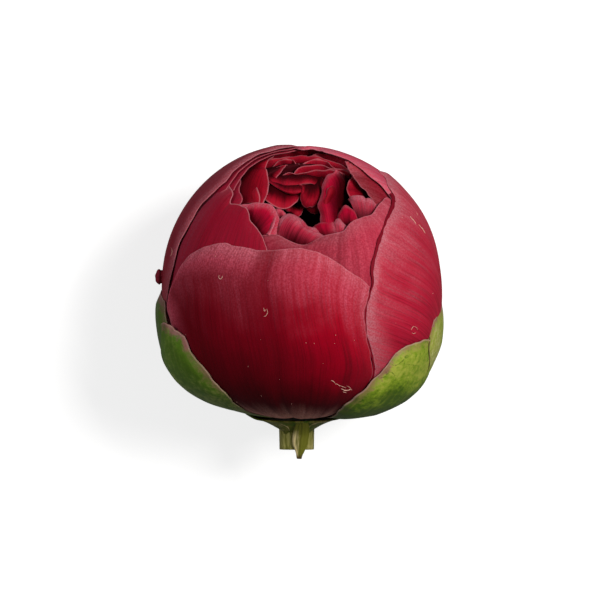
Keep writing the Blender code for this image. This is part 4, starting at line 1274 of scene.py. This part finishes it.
class PEONY_OT_guard_petals(Operator):
    """Makes the ten guard petals that wrap the bud"""

    bl_idname = "peony.guard_petals"
    bl_label = "Guard Petals"

    def execute(self, context):
        s = sizes()
        c = colours()
        # The front petal has painted shade at its left, a painted shadow beside its crease and painted sheen
        # at its foot
        front = petal_skin(
            "front_petal_skin", *petal_colours("front"), level=0.83, sides=0.95, streak=0.4, dark=0.25,
            pale=0.4, foot=0.9, reach=9, painted_light_lean=0.55, shade_spans=(14, 46), blend=0.19, band=(27.9, 3.4, 0.6),
            straw=c.painted_foot_sheen[:]
        )
        # The right petal's lighter colours are painted light
        right = petal_skin(
            "right_petal_skin", *petal_colours("right"), level=0.8, sides=0.95, streak=0.6, vein=0.35,
            pale=0.8, sheen=0.2
        )
        behind = petal_skin(
            "back_petal_skin", *petal_colours("back"), level=0.8, sides=0.4, streak=0.7, vein=0.4
        )
        bright = petal_skin(
            "inner_right_skin", *petal_colours("bright"), level=0.55, sides=0.05, streak=0.7, reach=1.5,
            painted_light_lean=0.55, shade_spans=(10, 30)
        )
        # The left petal's darker colours are painted shade
        left = petal_skin("left_petal_skin", *petal_colours("left"), level=0.75, sides=0.7, sheen=0.12)
        shade = petal_skin("inner_left_petal_skin", *petal_colours("shade"), level=1.1, sides=0.2, pale=0.2)
        folded = petal_skin(
            "front_left_petal_skin", *petal_colours("folded"), level=0.5, sides=0.1, streak=0.9, edge=0.6,
            reach=1.5, painted_light_lean=-0.9, blend=0.3, shade_spans=(14, 28)
        )
        second = petal_skin(
            "inner_petal_skin", *petal_colours("second"), level=0.67, sides=0.5, streak=0.7, painted_light_lean=0.5
        )
        skins = {
            "petal_front": front,
            "petal_right": right,
            "petal_back": right,
            "petal_left": left,
            "petal_front_left": folded,
            "petal_front_right": second,
            "petal_back_rim": behind,
            "petal_right_rim": bright,
        }
        edge = s.petal_edge
        for number, (name, shape) in enumerate(OUTER_PETALS.items()):
            size = FINE_GRIDS.get(name, PETAL_GRID)
            mesh = shell_petal(
                name, shape, CLAW_POLAR, s.petal_thickness, edge, s.petal_tuck, size, number, s.petal_sway
            )
            put_in(name + "_fine", mesh, skins.get(name, shade), "guard_petal", name)
        rims = []
        for number, (name, shape) in enumerate(LEFT_RIMS.items()):
            rims.append(
                shell_petal(name, shape, RIM_FOOT, 2 * edge, edge, RIM_TUCK, RIM_GRID, number + 20, RIM_SWAY)
            )
        put_in("left_rims", joined("left_rims", rims), shade, "guard_petal", "petal_left")
        # A dark strip under the right petal's left margin, painted shadow beside the petal's edge
        fold = shell_petal(
            "petal_right_fold", RIGHT_SHADOW_STRIP, CLAW_POLAR, *SHADOW_STRIP_WALL, SHADOW_STRIP_TUCK, SHADOW_STRIP_GRID, 24, SHADOW_STRIP_SWAY
        )
        shadow_strip_material = plain_skin("turned_margin_skin", c.fold_body[:], 0.7)
        put_in("petal_right_fold", fold, shadow_strip_material, "guard_petal", "petal_right")
        lobe = bumpy_ball("petal_left_lobe", in_view(*LOBE_CENTRE), LOBE_HALF_SIZE)
        put_in("petal_left_lobe", lobe, left, "guard_petal", "petal_left")
        return {"FINISHED"}


class PEONY_OT_sepals(Operator):
    """Makes the five green sepals that hold the bud"""

    bl_idname = "peony.sepals"
    bl_label = "Sepals"

    def execute(self, context):
        s = sizes()
        skin = sepal_skin("sepal_skin", *sepal_colours("sepal_dark", "sepal_body", "sepal_light"), fade=0.12)
        # Darker greens for the left sepals, painted shade
        greens = sepal_colours("sepal_dark", "shaded_body", "shaded_light")
        deep = sepal_skin("left_sepal_skin", *greens, edge=0.35, fade=-0.06)
        greens = sepal_colours("sepal_dark", "dull_body", "shaded_outer_light")
        shaded_outer = sepal_skin("outer_left_sepal_skin", *greens, edge=0.3)
        # Lighter greens for the outer right sepal, painted light
        greens = sepal_colours("sepal_body", "outer_body", "outer_light")
        outer = sepal_skin("outer_sepal_skin", *greens, edge=0.5)
        skins = {"sepal_left": deep, "sepal_left_outer": shaded_outer, "sepal_right_outer": outer}
        thickness, tuck = s.sepal_thickness, s.sepal_tuck
        for number, (name, shape) in enumerate(SEPALS.items()):
            mesh = shell_petal(
                name, shape, SEPAL_FOOT, thickness, SEPAL_EDGE, tuck, SEPAL_GRID, number + 40, SEPAL_SWAY
            )
            put_in(name + "_fine", mesh, skins.get(name, skin), "sepal", name)
        return {"FINISHED"}


def core_mesh(name):
    """The heart's smooth core with a bowl sunk in its front."""
    bm = bmesh.new()
    bmesh.ops.create_uvsphere(bm, u_segments=64, v_segments=40, radius=1)
    for vertex in bm.verts:
        toward = unit(np.array(vertex.co))
        point = MIDDLE + toward * shell_radius(toward, CORE_DEPTH)
        point[2] = max(point[2], CORE_DEPTH + SEPAL_LAYER)
        vertex.co = point
    solid = bpy.data.meshes.new(name)
    bm.to_mesh(solid)
    bm.free()
    bm = bmesh.new()
    bmesh.ops.create_uvsphere(bm, u_segments=48, v_segments=32, radius=BOWL_RADIUS)
    bmesh.ops.translate(bm, verts=bm.verts, vec=in_view(*BOWL_CENTRE))
    bowl_mesh = bpy.data.meshes.new("bowl")
    bm.to_mesh(bowl_mesh)
    bm.free()
    core = bpy.data.objects.new(name, solid)
    bowl = bpy.data.objects.new("bowl", bowl_mesh)
    for part in (core, bowl):
        bpy.context.scene.collection.objects.link(part)
    cut = core.modifiers.new("Bowl", "BOOLEAN")
    cut.operation = "DIFFERENCE"
    cut.object = bowl
    graph = bpy.context.evaluated_depsgraph_get()
    mesh = bpy.data.meshes.new_from_object(core.evaluated_get(graph))
    for part in (core, bowl):
        bpy.data.objects.remove(part)
    mesh.shade_smooth()
    return mesh


class PEONY_OT_heart(Operator):
    """Makes the ruffled heart and the dark core that it grows from"""

    bl_idname = "peony.heart"
    bl_label = "Heart"

    def execute(self, context):
        s = sizes()
        c = colours()
        # The heart's petals darken towards their roots: partly their own colour, partly painted shade deep
        # among the others
        deep = petal_skin(
            "heart_petal_skin", *petal_colours("heart", "heart_base"), level=1.04, sides=0.2, streak=0.8,
            edge=0.38, dark=0.35, pale=0.0, reach=2, blend=0.16
        )
        side = petal_skin(
            "heart_side_skin", *petal_colours("side", "heart_base"), level=1.2, sides=0.2, streak=0.8,
            edge=0.5, dark=-0.15, pale=0.0, reach=1.5, blend=0.3
        )
        rose = petal_skin(
            "heart_rose_skin", *petal_colours("rose", "heart_base"), level=0.9, sides=0.85, streak=0.7,
            edge=0.38, dark=0.2, pale=0.4, reach=2
        )
        # The rolls' pale bloom is partly painted highlight on their tops
        roll = petal_skin(
            "heart_roll_skin", *petal_colours("roll", "heart_base"), level=0.62, sides=0.5, streak=0.5,
            edge=0.32, dark=0.05, vein=0.5, pale=0.2, reach=3
        )
        groups = {
            "heart_back": (HEART_BACK, deep),
            "heart_left": (HEART_LEFT, deep),
            "heart_side": (HEART_SIDE, side),
            "heart_centre": (HEART_CENTRE, deep),
            "heart_rose": (HEART_ROSE, rose),
            "heart_front": (HEART_FRONT, roll),
        }
        for seed, (name, (petals, skin)) in enumerate(groups.items()):
            meshes = []
            for number, (petal, rows_given) in enumerate(petals.items()):
                columns, rows = (round(n * FINE) for n in HEART_GRID)
                draw = seed * 20 + number + 70
                size = (columns, rows, HEART_EDGE, HEART_THICKNESS)
                ruffle = s.ruffle * (0.4 if petal == "left_cup" else 1)
                slant = SLANTS.get(petal, 0.0)
                meshes.append(ruffled_petal(petal, rows_given, *size, ruffle, draw, petal in UPRIGHT, slant))
            put_in(name, joined(name, meshes), skin, "heart_petal", "heart")
        # Painted shade: the core is nearly black red, as it shows only in the deep gaps between the heart's
        # petals
        hollow = plain_skin("heart_hollow_skin", c.hollow[:], 0.8)
        put_in("heart_core", core_mesh("heart_core"), hollow, "heart_petal", "heart")
        return {"FINISHED"}


STEM_SHIFT = -0.87 * MM
STEM_TOP = 25.6 * MM
# Where the stem starts to slope to its upright cut, and how deep its ribs are as a share of its radius
SLOPE_START = 28 * MM
RIB_DEPTH = 0.012


def on_axis(down, front=0.0, right=0.0):
    """A point by its distance down the bud's axis and off it to the viewer and to the right, in metres."""
    return MIDDLE - AXIS * down + FRONT * front + RIGHT * (STEM_SHIFT + right)


def receptacle_mesh(name):
    """The receptacle: a shallow funnel with a wavy rim, lower at the front, running into the stem.

    Its rim, depths and walls are in mm off the axis and below the bud's middle.
    """
    around = 160
    turn = np.linspace(0, 2 * np.pi, around, endpoint=False)[:, None]
    ahead = np.cos(turn)
    lobe = np.exp(-(((turn - 1.42 * np.pi) / 0.5) ** 2))
    lobe = lobe + 0.6 * np.exp(-(((turn - 0.55 * np.pi) / 0.4) ** 2))
    rim = 8.5 - 2.3 * np.clip(ahead, 0, 1) ** 1.5 + 0.12 * np.sin(5 * turn) + 0.08 * np.sin(11 * turn + 1)
    rim = rim + 1.3 * lobe
    top = 24.55 - 0.15 * np.clip(ahead, 0, 1) - 0.85 * lobe
    share = np.linspace(0, 1, 40)[None, :]
    ribs = 0.09 * np.sin(7 * turn + 3 * share) * np.sin(np.pi * share)
    lower = rim + (3.25 - rim) * share**0.9 + ribs
    down = top + 0.35 + (27.0 - top - 0.35) * share**1.25
    inner = np.stack(np.broadcast_arrays(rim * 0 + 0.01, top * 0 + 24.9), axis=-1)
    wall = np.stack([rim - 1.2, top + 0.45], axis=-1)
    lip = np.stack([rim - 0.12, top + 0.05], axis=-1)
    edge = np.stack([rim + 0.03, top + 0.15], axis=-1)
    skirt = np.stack([lower, down], axis=-1)
    foot = np.stack(np.broadcast_arrays(rim * 0 + 3.15, top * 0 + 27.6), axis=-1)
    end = np.stack(np.broadcast_arrays(rim * 0 + 0.01, top * 0 + 27.6), axis=-1)
    run = np.concatenate([inner, wall, lip, edge, skirt, foot, end], axis=1) * MM
    reach, depth = run[..., 0], run[..., 1]
    ring = np.cos(turn)[..., None] * FRONT + np.sin(turn)[..., None] * RIGHT
    grid = on_axis(0) + ring * reach[..., None] - AXIS * depth[..., None]
    count = grid.shape[1]
    index = np.arange(around * count).reshape(around, count)
    after = np.roll(index, -1, axis=0)
    quads = np.stack([index[:, :-1], index[:, 1:], after[:, 1:], after[:, :-1]], axis=-1).reshape(-1, 4)
    mesh = bpy.data.meshes.new(name)
    mesh.from_pydata(grid.reshape(-1, 3).tolist(), [], quads.tolist())
    bm = bmesh.new()
    bm.from_mesh(mesh)
    bmesh.ops.remove_doubles(bm, verts=bm.verts, dist=0.02 * MM)
    bmesh.ops.recalc_face_normals(bm, faces=bm.faces)
    bm.to_mesh(mesh)
    bm.free()
    mesh.shade_smooth()
    return mesh


def grown(name, mesh, tree, values):
    """A plain mesh grown from another one by Geometry Nodes, with the given inputs by name."""
    seed = bpy.data.objects.new(name, mesh)
    bpy.context.scene.collection.objects.link(seed)
    grower = seed.modifiers.new("Grow", "NODES")
    grower.node_group = tree
    for socket in tree.interface.items_tree:
        if socket.item_type == "SOCKET" and socket.in_out == "INPUT" and socket.name in values:
            grower[socket.identifier] = values[socket.name]
    graph = bpy.context.evaluated_depsgraph_get()
    result = bpy.data.meshes.new_from_object(seed.evaluated_get(graph))
    seed.modifiers.clear()
    bpy.data.objects.remove(seed)
    result.name = name
    return result


def node_group(name, sockets):
    """A Geometry Nodes group with its inputs, and a geometry as its first input and only output."""
    tree = bpy.data.node_groups.new(name, "GeometryNodeTree")
    tree.interface.new_socket("Geometry", in_out="INPUT", socket_type="NodeSocketGeometry")
    for title, kind in sockets.items():
        tree.interface.new_socket(title, in_out="INPUT", socket_type="NodeSocket" + kind)
    tree.interface.new_socket("Geometry", in_out="OUTPUT", socket_type="NodeSocketGeometry")
    return tree, tree.nodes.new("NodeGroupInput").outputs


def stem_nodes():
    """A ribbed tube along a curve, whose radius is scaled by the curve's taper."""
    sockets = {"Radius": "Float", "Ribs": "Int", "Rib Depth": "Float", "Skin": "Material"}
    tree, given = node_group("ribbed_stem", sockets)
    path = node(tree, "GeometryNodeMeshToCurve", {"Mesh": given["Geometry"]})
    taper = node(tree, "GeometryNodeInputNamedAttribute", {"Name": "taper"}, "Attribute", data_type="FLOAT")
    reach = node(tree, MATH, (taper, given["Radius"]), operation="MULTIPLY")
    circle = node(tree, "GeometryNodeCurvePrimitiveCircle", {"Resolution": 144, "Radius": 1.0}, "Curve")
    place = node(tree, "GeometryNodeInputPosition")
    across = node(tree, "ShaderNodeSeparateXYZ", (place,), "X")
    turn = node(tree, MATH, (across.node.outputs["Y"], across), operation="ARCTAN2")
    wave = node(tree, MATH, (turn, given["Ribs"]), operation="MULTIPLY")
    wave = node(tree, MATH, (wave,), operation="SINE")
    swell = node(tree, MATH, (wave, given["Rib Depth"]), operation="MULTIPLY")
    swell = node(tree, MATH, (swell, 1.0), operation="ADD")
    scaled = node(tree, "ShaderNodeVectorMath", {"Vector": place, "Scale": swell}, operation="SCALE")
    ribbed = node(tree, "GeometryNodeSetPosition", {"Geometry": circle, "Position": scaled})
    inputs = {"Curve": path, "Profile Curve": ribbed, "Scale": reach, "Fill Caps": True}
    tube = node(tree, "GeometryNodeCurveToMesh", inputs)
    dressed = node(tree, "GeometryNodeSetMaterial", {"Geometry": tube, "Material": given["Skin"]})
    node(tree, "NodeGroupOutput", {"Geometry": dressed})
    return tree


def speck_nodes():
    """Small grains strewn over a surface."""
    sockets = {"Density": "Float", "Size": "Float", "Seed": "Int", "Skin": "Material"}
    tree, given = node_group("strewn_specks", sockets)
    inputs = {"Mesh": given["Geometry"], "Density": given["Density"], "Seed": given["Seed"]}
    points = node(tree, "GeometryNodeDistributePointsOnFaces", inputs, "Points")
    grain = node(tree, "GeometryNodeMeshIcoSphere", {"Radius": given["Size"], "Subdivisions": 2}, "Mesh")
    shapes = ((0.4, 0.4, 0.4), (1.3, 1.1, 0.9))
    draw = node(tree, "FunctionNodeRandomValue", shapes, data_type="FLOAT_VECTOR")
    inputs = {"Points": points, "Instance": grain, "Scale": draw}
    strewn = node(tree, "GeometryNodeInstanceOnPoints", inputs)
    real = node(tree, "GeometryNodeRealizeInstances", {"Geometry": strewn})
    dressed = node(tree, "GeometryNodeSetMaterial", {"Geometry": real, "Material": given["Skin"]})
    node(tree, "NodeGroupOutput", {"Geometry": dressed})
    return tree


class PEONY_OT_stem(Operator):
    """Makes the cut stem and the receptacle above it"""

    bl_idname = "peony.stem"
    bl_label = "Stem"

    def execute(self, context):
        s = sizes()
        c = colours()
        skin = stem_skin("stem_skin", c.stem_green[:], c.stem_pale[:], c.bract_pale[:])
        # Places down the axis with the stem's share of its radius there
        steps = [(STEM_TOP, 0.9), (26.4 * MM, 0.96), (27.2 * MM, 1.0), (28.4 * MM, 0.99), (30 * MM, 0.98)]
        steps += [(STEM_CUT - 0.06 * MM, 0.975), (STEM_CUT - 0.01 * MM, 0.96), (STEM_CUT, 0.93)]
        path = bpy.data.meshes.new("stem_path")
        points = [tuple(on_axis(down)) for down, _ in steps]
        path.from_pydata(points, [(i, i + 1) for i in range(len(points) - 1)], [])
        taper = [share for _, share in steps]
        path.attributes.new("taper", "FLOAT", "POINT").data.foreach_set("value", taper)
        values = {"Radius": s.stem_radius, "Ribs": s.stem_ribs, "Rib Depth": RIB_DEPTH, "Skin": skin}
        stub = grown("stem_stub", path, stem_nodes(), values)
        for vertex in stub.vertices:
            off = np.array(vertex.co) - MIDDLE
            share = np.clip((-(off @ AXIS) - SLOPE_START) / (STEM_CUT - SLOPE_START), 0, 1)
            vertex.co += Vector(AXIS * (off @ FRONT) * math.tan(LEAN) * share)
        put_in("stem_stub", stub, skin, "stem", "stem")
        greens = sepal_colours("sepal_dark", "stem_green", "stem_pale")
        calyx = sepal_skin("receptacle_skin", *greens, blade=False)
        put_in("receptacle", receptacle_mesh("receptacle"), calyx, "stem", "stem")
        return {"FINISHED"}


# The bract's run down the front of the receptacle and stem: distance off the axis, down it and to the right
# of the bud's middle, with its half width, in mm
BRACT_RUN = [
    (5.9, 24.75, 0.1, 1.1),
    (5.4, 25.5, 0.1, 1.3),
    (4.7, 26.4, 0.0, 1.4),
    (4.15, 27.4, -0.1, 1.45),
    (3.95, 28.6, -0.25, 1.5),
    (3.85, 29.6, -0.3, 1.45),
    (3.8, 30.6, -0.3, 1.3),
    (3.75, 31.3, -0.4, 0.95),
    (3.7, 31.75, -0.42, 0.62),
    (3.7, 31.9, -0.42, 0.42),
]


def bract_mesh(name):
    """The bract: a narrow keeled blade with a blunt tip."""
    columns, rows = 25, 70
    table = np.array(BRACT_RUN)[::-1] * MM
    line = smooth_line(table[:, :3], np.linspace(0, 1, rows))
    places = np.linspace(0, 1, len(table))
    half = np.interp(np.linspace(0, 1, rows), places, table[:, 3])
    side = np.linspace(-1, 1, columns)
    keel = 0.5 * MM * (1 - np.abs(side - 0.25)) * (half / half.max())[:, None]
    keel = keel + 0.06 * MM * np.sin(side * 14)
    edge = half[:, None] * side[None, :]
    sheet = MIDDLE - AXIS * line[:, None, 1:2] + FRONT * (line[:, None, 0:1] + keel[..., None])
    sheet = sheet + RIGHT * (line[:, None, 2:3] + edge[..., None])
    inner = sheet - FRONT * 0.35 * MM
    up = np.linspace(0, 1, rows)[:, None]
    flow = np.stack(np.broadcast_arrays(side[None] * 1.5, up * 8), axis=-1)
    rise = np.broadcast_to(up, (rows, columns))
    beside = np.broadcast_to(side, (rows, columns))
    return closed_sheet(name, sheet, inner, flow, {"rise": rise, "beside": beside})


class PEONY_OT_bract(Operator):
    """Makes the narrow bract in front of the stem"""

    bl_idname = "peony.bract"
    bl_label = "Bract"

    def execute(self, context):
        c = colours()
        skin = bract_skin("bract_skin", c.stem_green[:], c.bract_pale[:], c.bract_brown[:])
        put_in("bract_blade", bract_mesh("bract_blade"), skin, "stem", "bract")
        return {"FINISHED"}


def thread(name, points, radius):
    """A closed thin tube through some points, thickest in its middle."""
    count, around = 24, 8
    line = smooth_line(points, np.linspace(0, 1, count))
    along = unit(np.gradient(line, axis=0))
    over = unit(np.cross(along, np.array((0.0, 0.0, 1.0))) + 1e-9)
    up = np.cross(over, along)
    turn = np.linspace(0, 2 * np.pi, around, endpoint=False)
    share = np.linspace(0, 1, count)
    width = radius * (0.15 + 0.85 * np.sin(np.pi * share) ** 0.6) * (1 + 0.25 * np.sin(share * 17))
    ring = np.cos(turn)[None, :, None] * over[:, None] + np.sin(turn)[None, :, None] * up[:, None]
    grid = line[:, None] + ring * width[:, None, None]
    index = np.arange(count * around).reshape(count, around)
    after = np.roll(index, -1, axis=1)
    faces = np.stack([index[:-1], after[:-1], after[1:], index[1:]], axis=-1).reshape(-1, 4).tolist()
    faces += [index[0, ::-1].tolist(), index[-1].tolist()]
    mesh = bpy.data.meshes.new(name)
    mesh.from_pydata(grid.reshape(-1, 3).tolist(), [], faces)
    bm = bmesh.new()
    bm.from_mesh(mesh)
    bmesh.ops.recalc_face_normals(bm, faces=bm.faces)
    bm.to_mesh(mesh)
    bm.free()
    mesh.shade_smooth()
    return mesh


# Scratches and curls of skin on the petals, as pixels along them with a radius in mm
SCARS = [
    ([(409, 216.6), (410.4, 219), (412.4, 220.8), (414, 223), (415, 225)], 0.104),
    ([(417.8, 225), (419.4, 227), (421.6, 229.4), (423, 231.6), (424.6, 234)], 0.117),
    ([(415.6, 213.4), (416.6, 214.6), (417.4, 216)], 0.052),
    ([(413, 325.6), (411, 327.2), (409.8, 329.8)], 0.07),
    ([(410.6, 332.4), (412.6, 333.2), (414.6, 332.2)], 0.06),
    ([(413.2, 326), (415.4, 327.6), (416.4, 330)], 0.05),
    ([(330.6, 379), (332.6, 380), (334.4, 381.6)], 0.085),
    ([(334.2, 382.4), (337, 383), (339.6, 385.2)], 0.06),
    ([(338.4, 384), (342, 385.4), (345.6, 386.6)], 0.055),
    ([(340.6, 387.4), (344, 389), (347.4, 389), (350.4, 387.8)], 0.12),
    ([(342.4, 390.6), (345.6, 391.4)], 0.07),
    ([(346, 384.6), (349, 386.2), (351.6, 389.4)], 0.05),
    ([(220.4, 275.6), (220.2, 278), (221.8, 279.4), (223.4, 278.2), (223.6, 276)], 0.0715),
    ([(264.4, 307.6), (265.2, 311), (266.4, 309.2)], 0.0585),
    ([(267.4, 308.6), (268.2, 312), (266.6, 315.4), (264.2, 316.4)], 0.0585),
    ([(171.6, 247.6), (173, 251), (172.4, 254.6), (170.6, 257)], 0.0585),
]

# The brown line where the two right sepals meet
SEAM_LINES = [
    ([(429, 336), (428.2, 342), (427.4, 348), (428, 355), (428.6, 362), (427.6, 369), (425, 375)], 0.14),
    ([(429.4, 333), (427.4, 338), (424, 341)], 0.1),
]

# The thin reflexed edge of the receptacle beside the bract
CUP_LINES = [
    ([(308.6, 429.5), (309.4, 426.6), (312, 424.6), (317, 422.6), (323, 421.6), (329, 421)], 0.16),
    ([(289.6, 431), (288, 427.6), (284.6, 425.4), (280, 424)], 0.1),
]


# Specks to a square metre of petal, and their radius
SPECK_DENSITY = 9000.0
SPECK_RADIUS = 0.065 * MM

# Where the rays that look for a surface start, in mm above the bud's middle
RAY_HEIGHT = 60


def lying_threads(name, lines, surfaces):
    """Threads that lie on surfaces along some pixels of the photograph, with radii in mm."""
    threads = []
    for number, (pixels, radius) in enumerate(lines):
        points = []
        for u, v in pixels:
            above = Vector(in_view(u, v, RAY_HEIGHT))
            hits = [tree.ray_cast(above, Vector((0, 0, -1)))[0] for tree in surfaces]
            heights = [hit.z for hit in hits if hit is not None]
            if not heights:
                raise RuntimeError("A mark lies beside the bud")
            points.append((above.x, above.y, max(heights) + radius * MM * 0.3))
        threads.append(thread("%s_%d" % (name, number), points, radius * 0.8 * MM))
    return joined(name, threads)


def surface_tree(name):
    """The surface of one finished piece, to cast rays at."""
    mesh = bpy.data.objects[name].data
    return BVHTree.FromPolygons([v.co[:] for v in mesh.vertices], [f.vertices[:] for f in mesh.polygons])


class PEONY_OT_marks(Operator):
    """Makes the petals' scars and specks, the right sepals' brown seam and the receptacle's thin edge"""

    bl_idname = "peony.marks"
    bl_label = "Marks"

    def execute(self, context):
        c = colours()
        skin = plain_skin("dried_scar", c.scar[:], 0.5)
        petals = [surface_tree(name + "_fine") for name in ("petal_front", "petal_right", "petal_left")]
        put_in("scars", lying_threads("scars", SCARS, petals), skin, "guard_petal")
        sepals = [surface_tree(name + "_fine") for name in ("sepal_right", "sepal_right_outer")]
        brown = plain_skin("sepal_seam", c.bract_brown[:], 0.6)
        put_in("sepal_seams", lying_threads("sepal_seams", SEAM_LINES, sepals), brown, "sepal")
        cup = surface_tree("receptacle")
        straw = plain_skin("reflexed_edge", c.bract_pale[:], 0.6)
        put_in("receptacle_edges", lying_threads("receptacle_edges", CUP_LINES, [cup]), straw, "stem")
        values = {"Density": SPECK_DENSITY, "Size": SPECK_RADIUS, "Seed": 4, "Skin": skin}
        specks = []
        tree = speck_nodes()
        for name in ("petal_front", "petal_right"):
            source = bpy.data.objects[name + "_fine"].data.copy()
            specks.append(grown(name + "_specks", source, tree, values))
        put_in("specks", joined("specks", specks), skin, "guard_petal")
        return {"FINISHED"}


# The camera's height over the bud's middle in metres and its film width in mm
CAMERA_HEIGHT = 1.2
SENSOR = 36.0
FLOOR_REACH = 3.0
FLOOR_GREY = (0.45, 0.45, 0.45, 1)
FLOOR_GLOW = 0.72
SKY_STRENGTH = 0.16
WHITE = (1, 1, 1, 1)


def area_light(name, place, target, size, power, colour):
    """A soft square light aimed at a point."""
    data = bpy.data.lights.new(name, "AREA")
    data.shape = "SQUARE"
    data.size = size
    data.energy = power
    data.color = colour
    lamp = bpy.data.objects.new(name, data)
    lamp.location = place
    way = np.array(target) - np.array(place)
    lamp.rotation_mode = "QUATERNION"
    lamp.rotation_quaternion = Vector(way).to_track_quat("-Z", "Y")
    bpy.context.scene.collection.objects.link(lamp)
    return lamp


class PEONY_OT_stage(Operator):
    """Makes the floor, the soft lights and the camera that looks straight down"""

    bl_idname = "peony.stage"
    bl_label = "Stage"

    def execute(self, context):
        scene = context.scene
        mesh = bpy.data.meshes.new("floor")
        corners = [(x * FLOOR_REACH, y * FLOOR_REACH, 0) for x, y in ((-1, -1), (1, -1), (1, 1), (-1, 1))]
        mesh.from_pydata(corners, [], [(0, 1, 2, 3)])
        floor = bpy.data.objects.new("floor", mesh)
        paper = plain_skin("paper_floor", FLOOR_GREY, 0.9)
        glow = paper.node_tree.nodes["Principled BSDF"].inputs
        glow["Emission Color"].default_value = WHITE
        glow["Emission Strength"].default_value = FLOOR_GLOW
        mesh.materials.append(paper)
        floor.visible_diffuse = False
        floor.visible_glossy = False
        scene.collection.objects.link(floor)

        middle = tuple(MIDDLE)
        area_light("key", (0.44, 0.2, 0.76), middle, 0.28, 7.6, (1.0, 0.985, 0.96))
        area_light("fill", (-0.65, 0.3, 0.4), middle, 0.4, 2.2, (0.97, 0.98, 1))

        world = bpy.data.worlds.new("studio")
        world.use_nodes = True
        sky = world.node_tree.nodes["Background"].inputs
        sky["Color"].default_value = WHITE
        sky["Strength"].default_value = SKY_STRENGTH
        scene.world = world
        scene.view_settings.view_transform = "Standard"

        data = bpy.data.cameras.new("camera")
        camera = bpy.data.objects.new("camera", data)
        half = FRAME_PIXELS / 2
        x = (half - MIDDLE_PIXEL[0]) * PIXEL
        y = MIDDLE[1] + (MIDDLE_PIXEL[1] - half) * PIXEL
        camera.location = (x, y, MIDDLE[2] + CAMERA_HEIGHT)
        data.sensor_width = SENSOR
        data.lens = SENSOR * CAMERA_HEIGHT / (FRAME_PIXELS * PIXEL)
        data.clip_end = 10
        scene.collection.objects.link(camera)
        scene.camera = camera
        return {"FINISHED"}


class PEONY_PT_panel(Panel):
    """Lists the bud's pieces in the 3D view's sidebar"""

    bl_label = "Peony Bud"
    bl_space_type = "VIEW_3D"
    bl_region_type = "UI"
    bl_category = "Peony Bud"

    def draw(self, context):
        for step in STEPS:
            self.layout.operator(step.bl_idname)
        for group in (context.scene.peony_sizes, context.scene.peony_colours):
            for name in group.__annotations__:
                self.layout.prop(group, name)


STEPS = (
    PEONY_OT_guard_petals,
    PEONY_OT_sepals,
    PEONY_OT_heart,
    PEONY_OT_stem,
    PEONY_OT_bract,
    PEONY_OT_marks,
    PEONY_OT_stage,
)
CLASSES = (PeonySizes, PeonyColours, *STEPS, PEONY_PT_panel)


def register():
    for kind in CLASSES:
        bpy.utils.register_class(kind)
    bpy.types.Scene.peony_sizes = PointerProperty(type=PeonySizes)
    bpy.types.Scene.peony_colours = PointerProperty(type=PeonyColours)


def unregister():
    del bpy.types.Scene.peony_colours
    del bpy.types.Scene.peony_sizes
    for kind in reversed(CLASSES):
        bpy.utils.unregister_class(kind)


def main():
    register()
    bpy.ops.peony.guard_petals()
    bpy.ops.peony.sepals()
    bpy.ops.peony.heart()
    bpy.ops.peony.stem()
    bpy.ops.peony.bract()
    bpy.ops.peony.marks()
    bpy.ops.peony.stage()


if __name__ == "__main__":
    main()
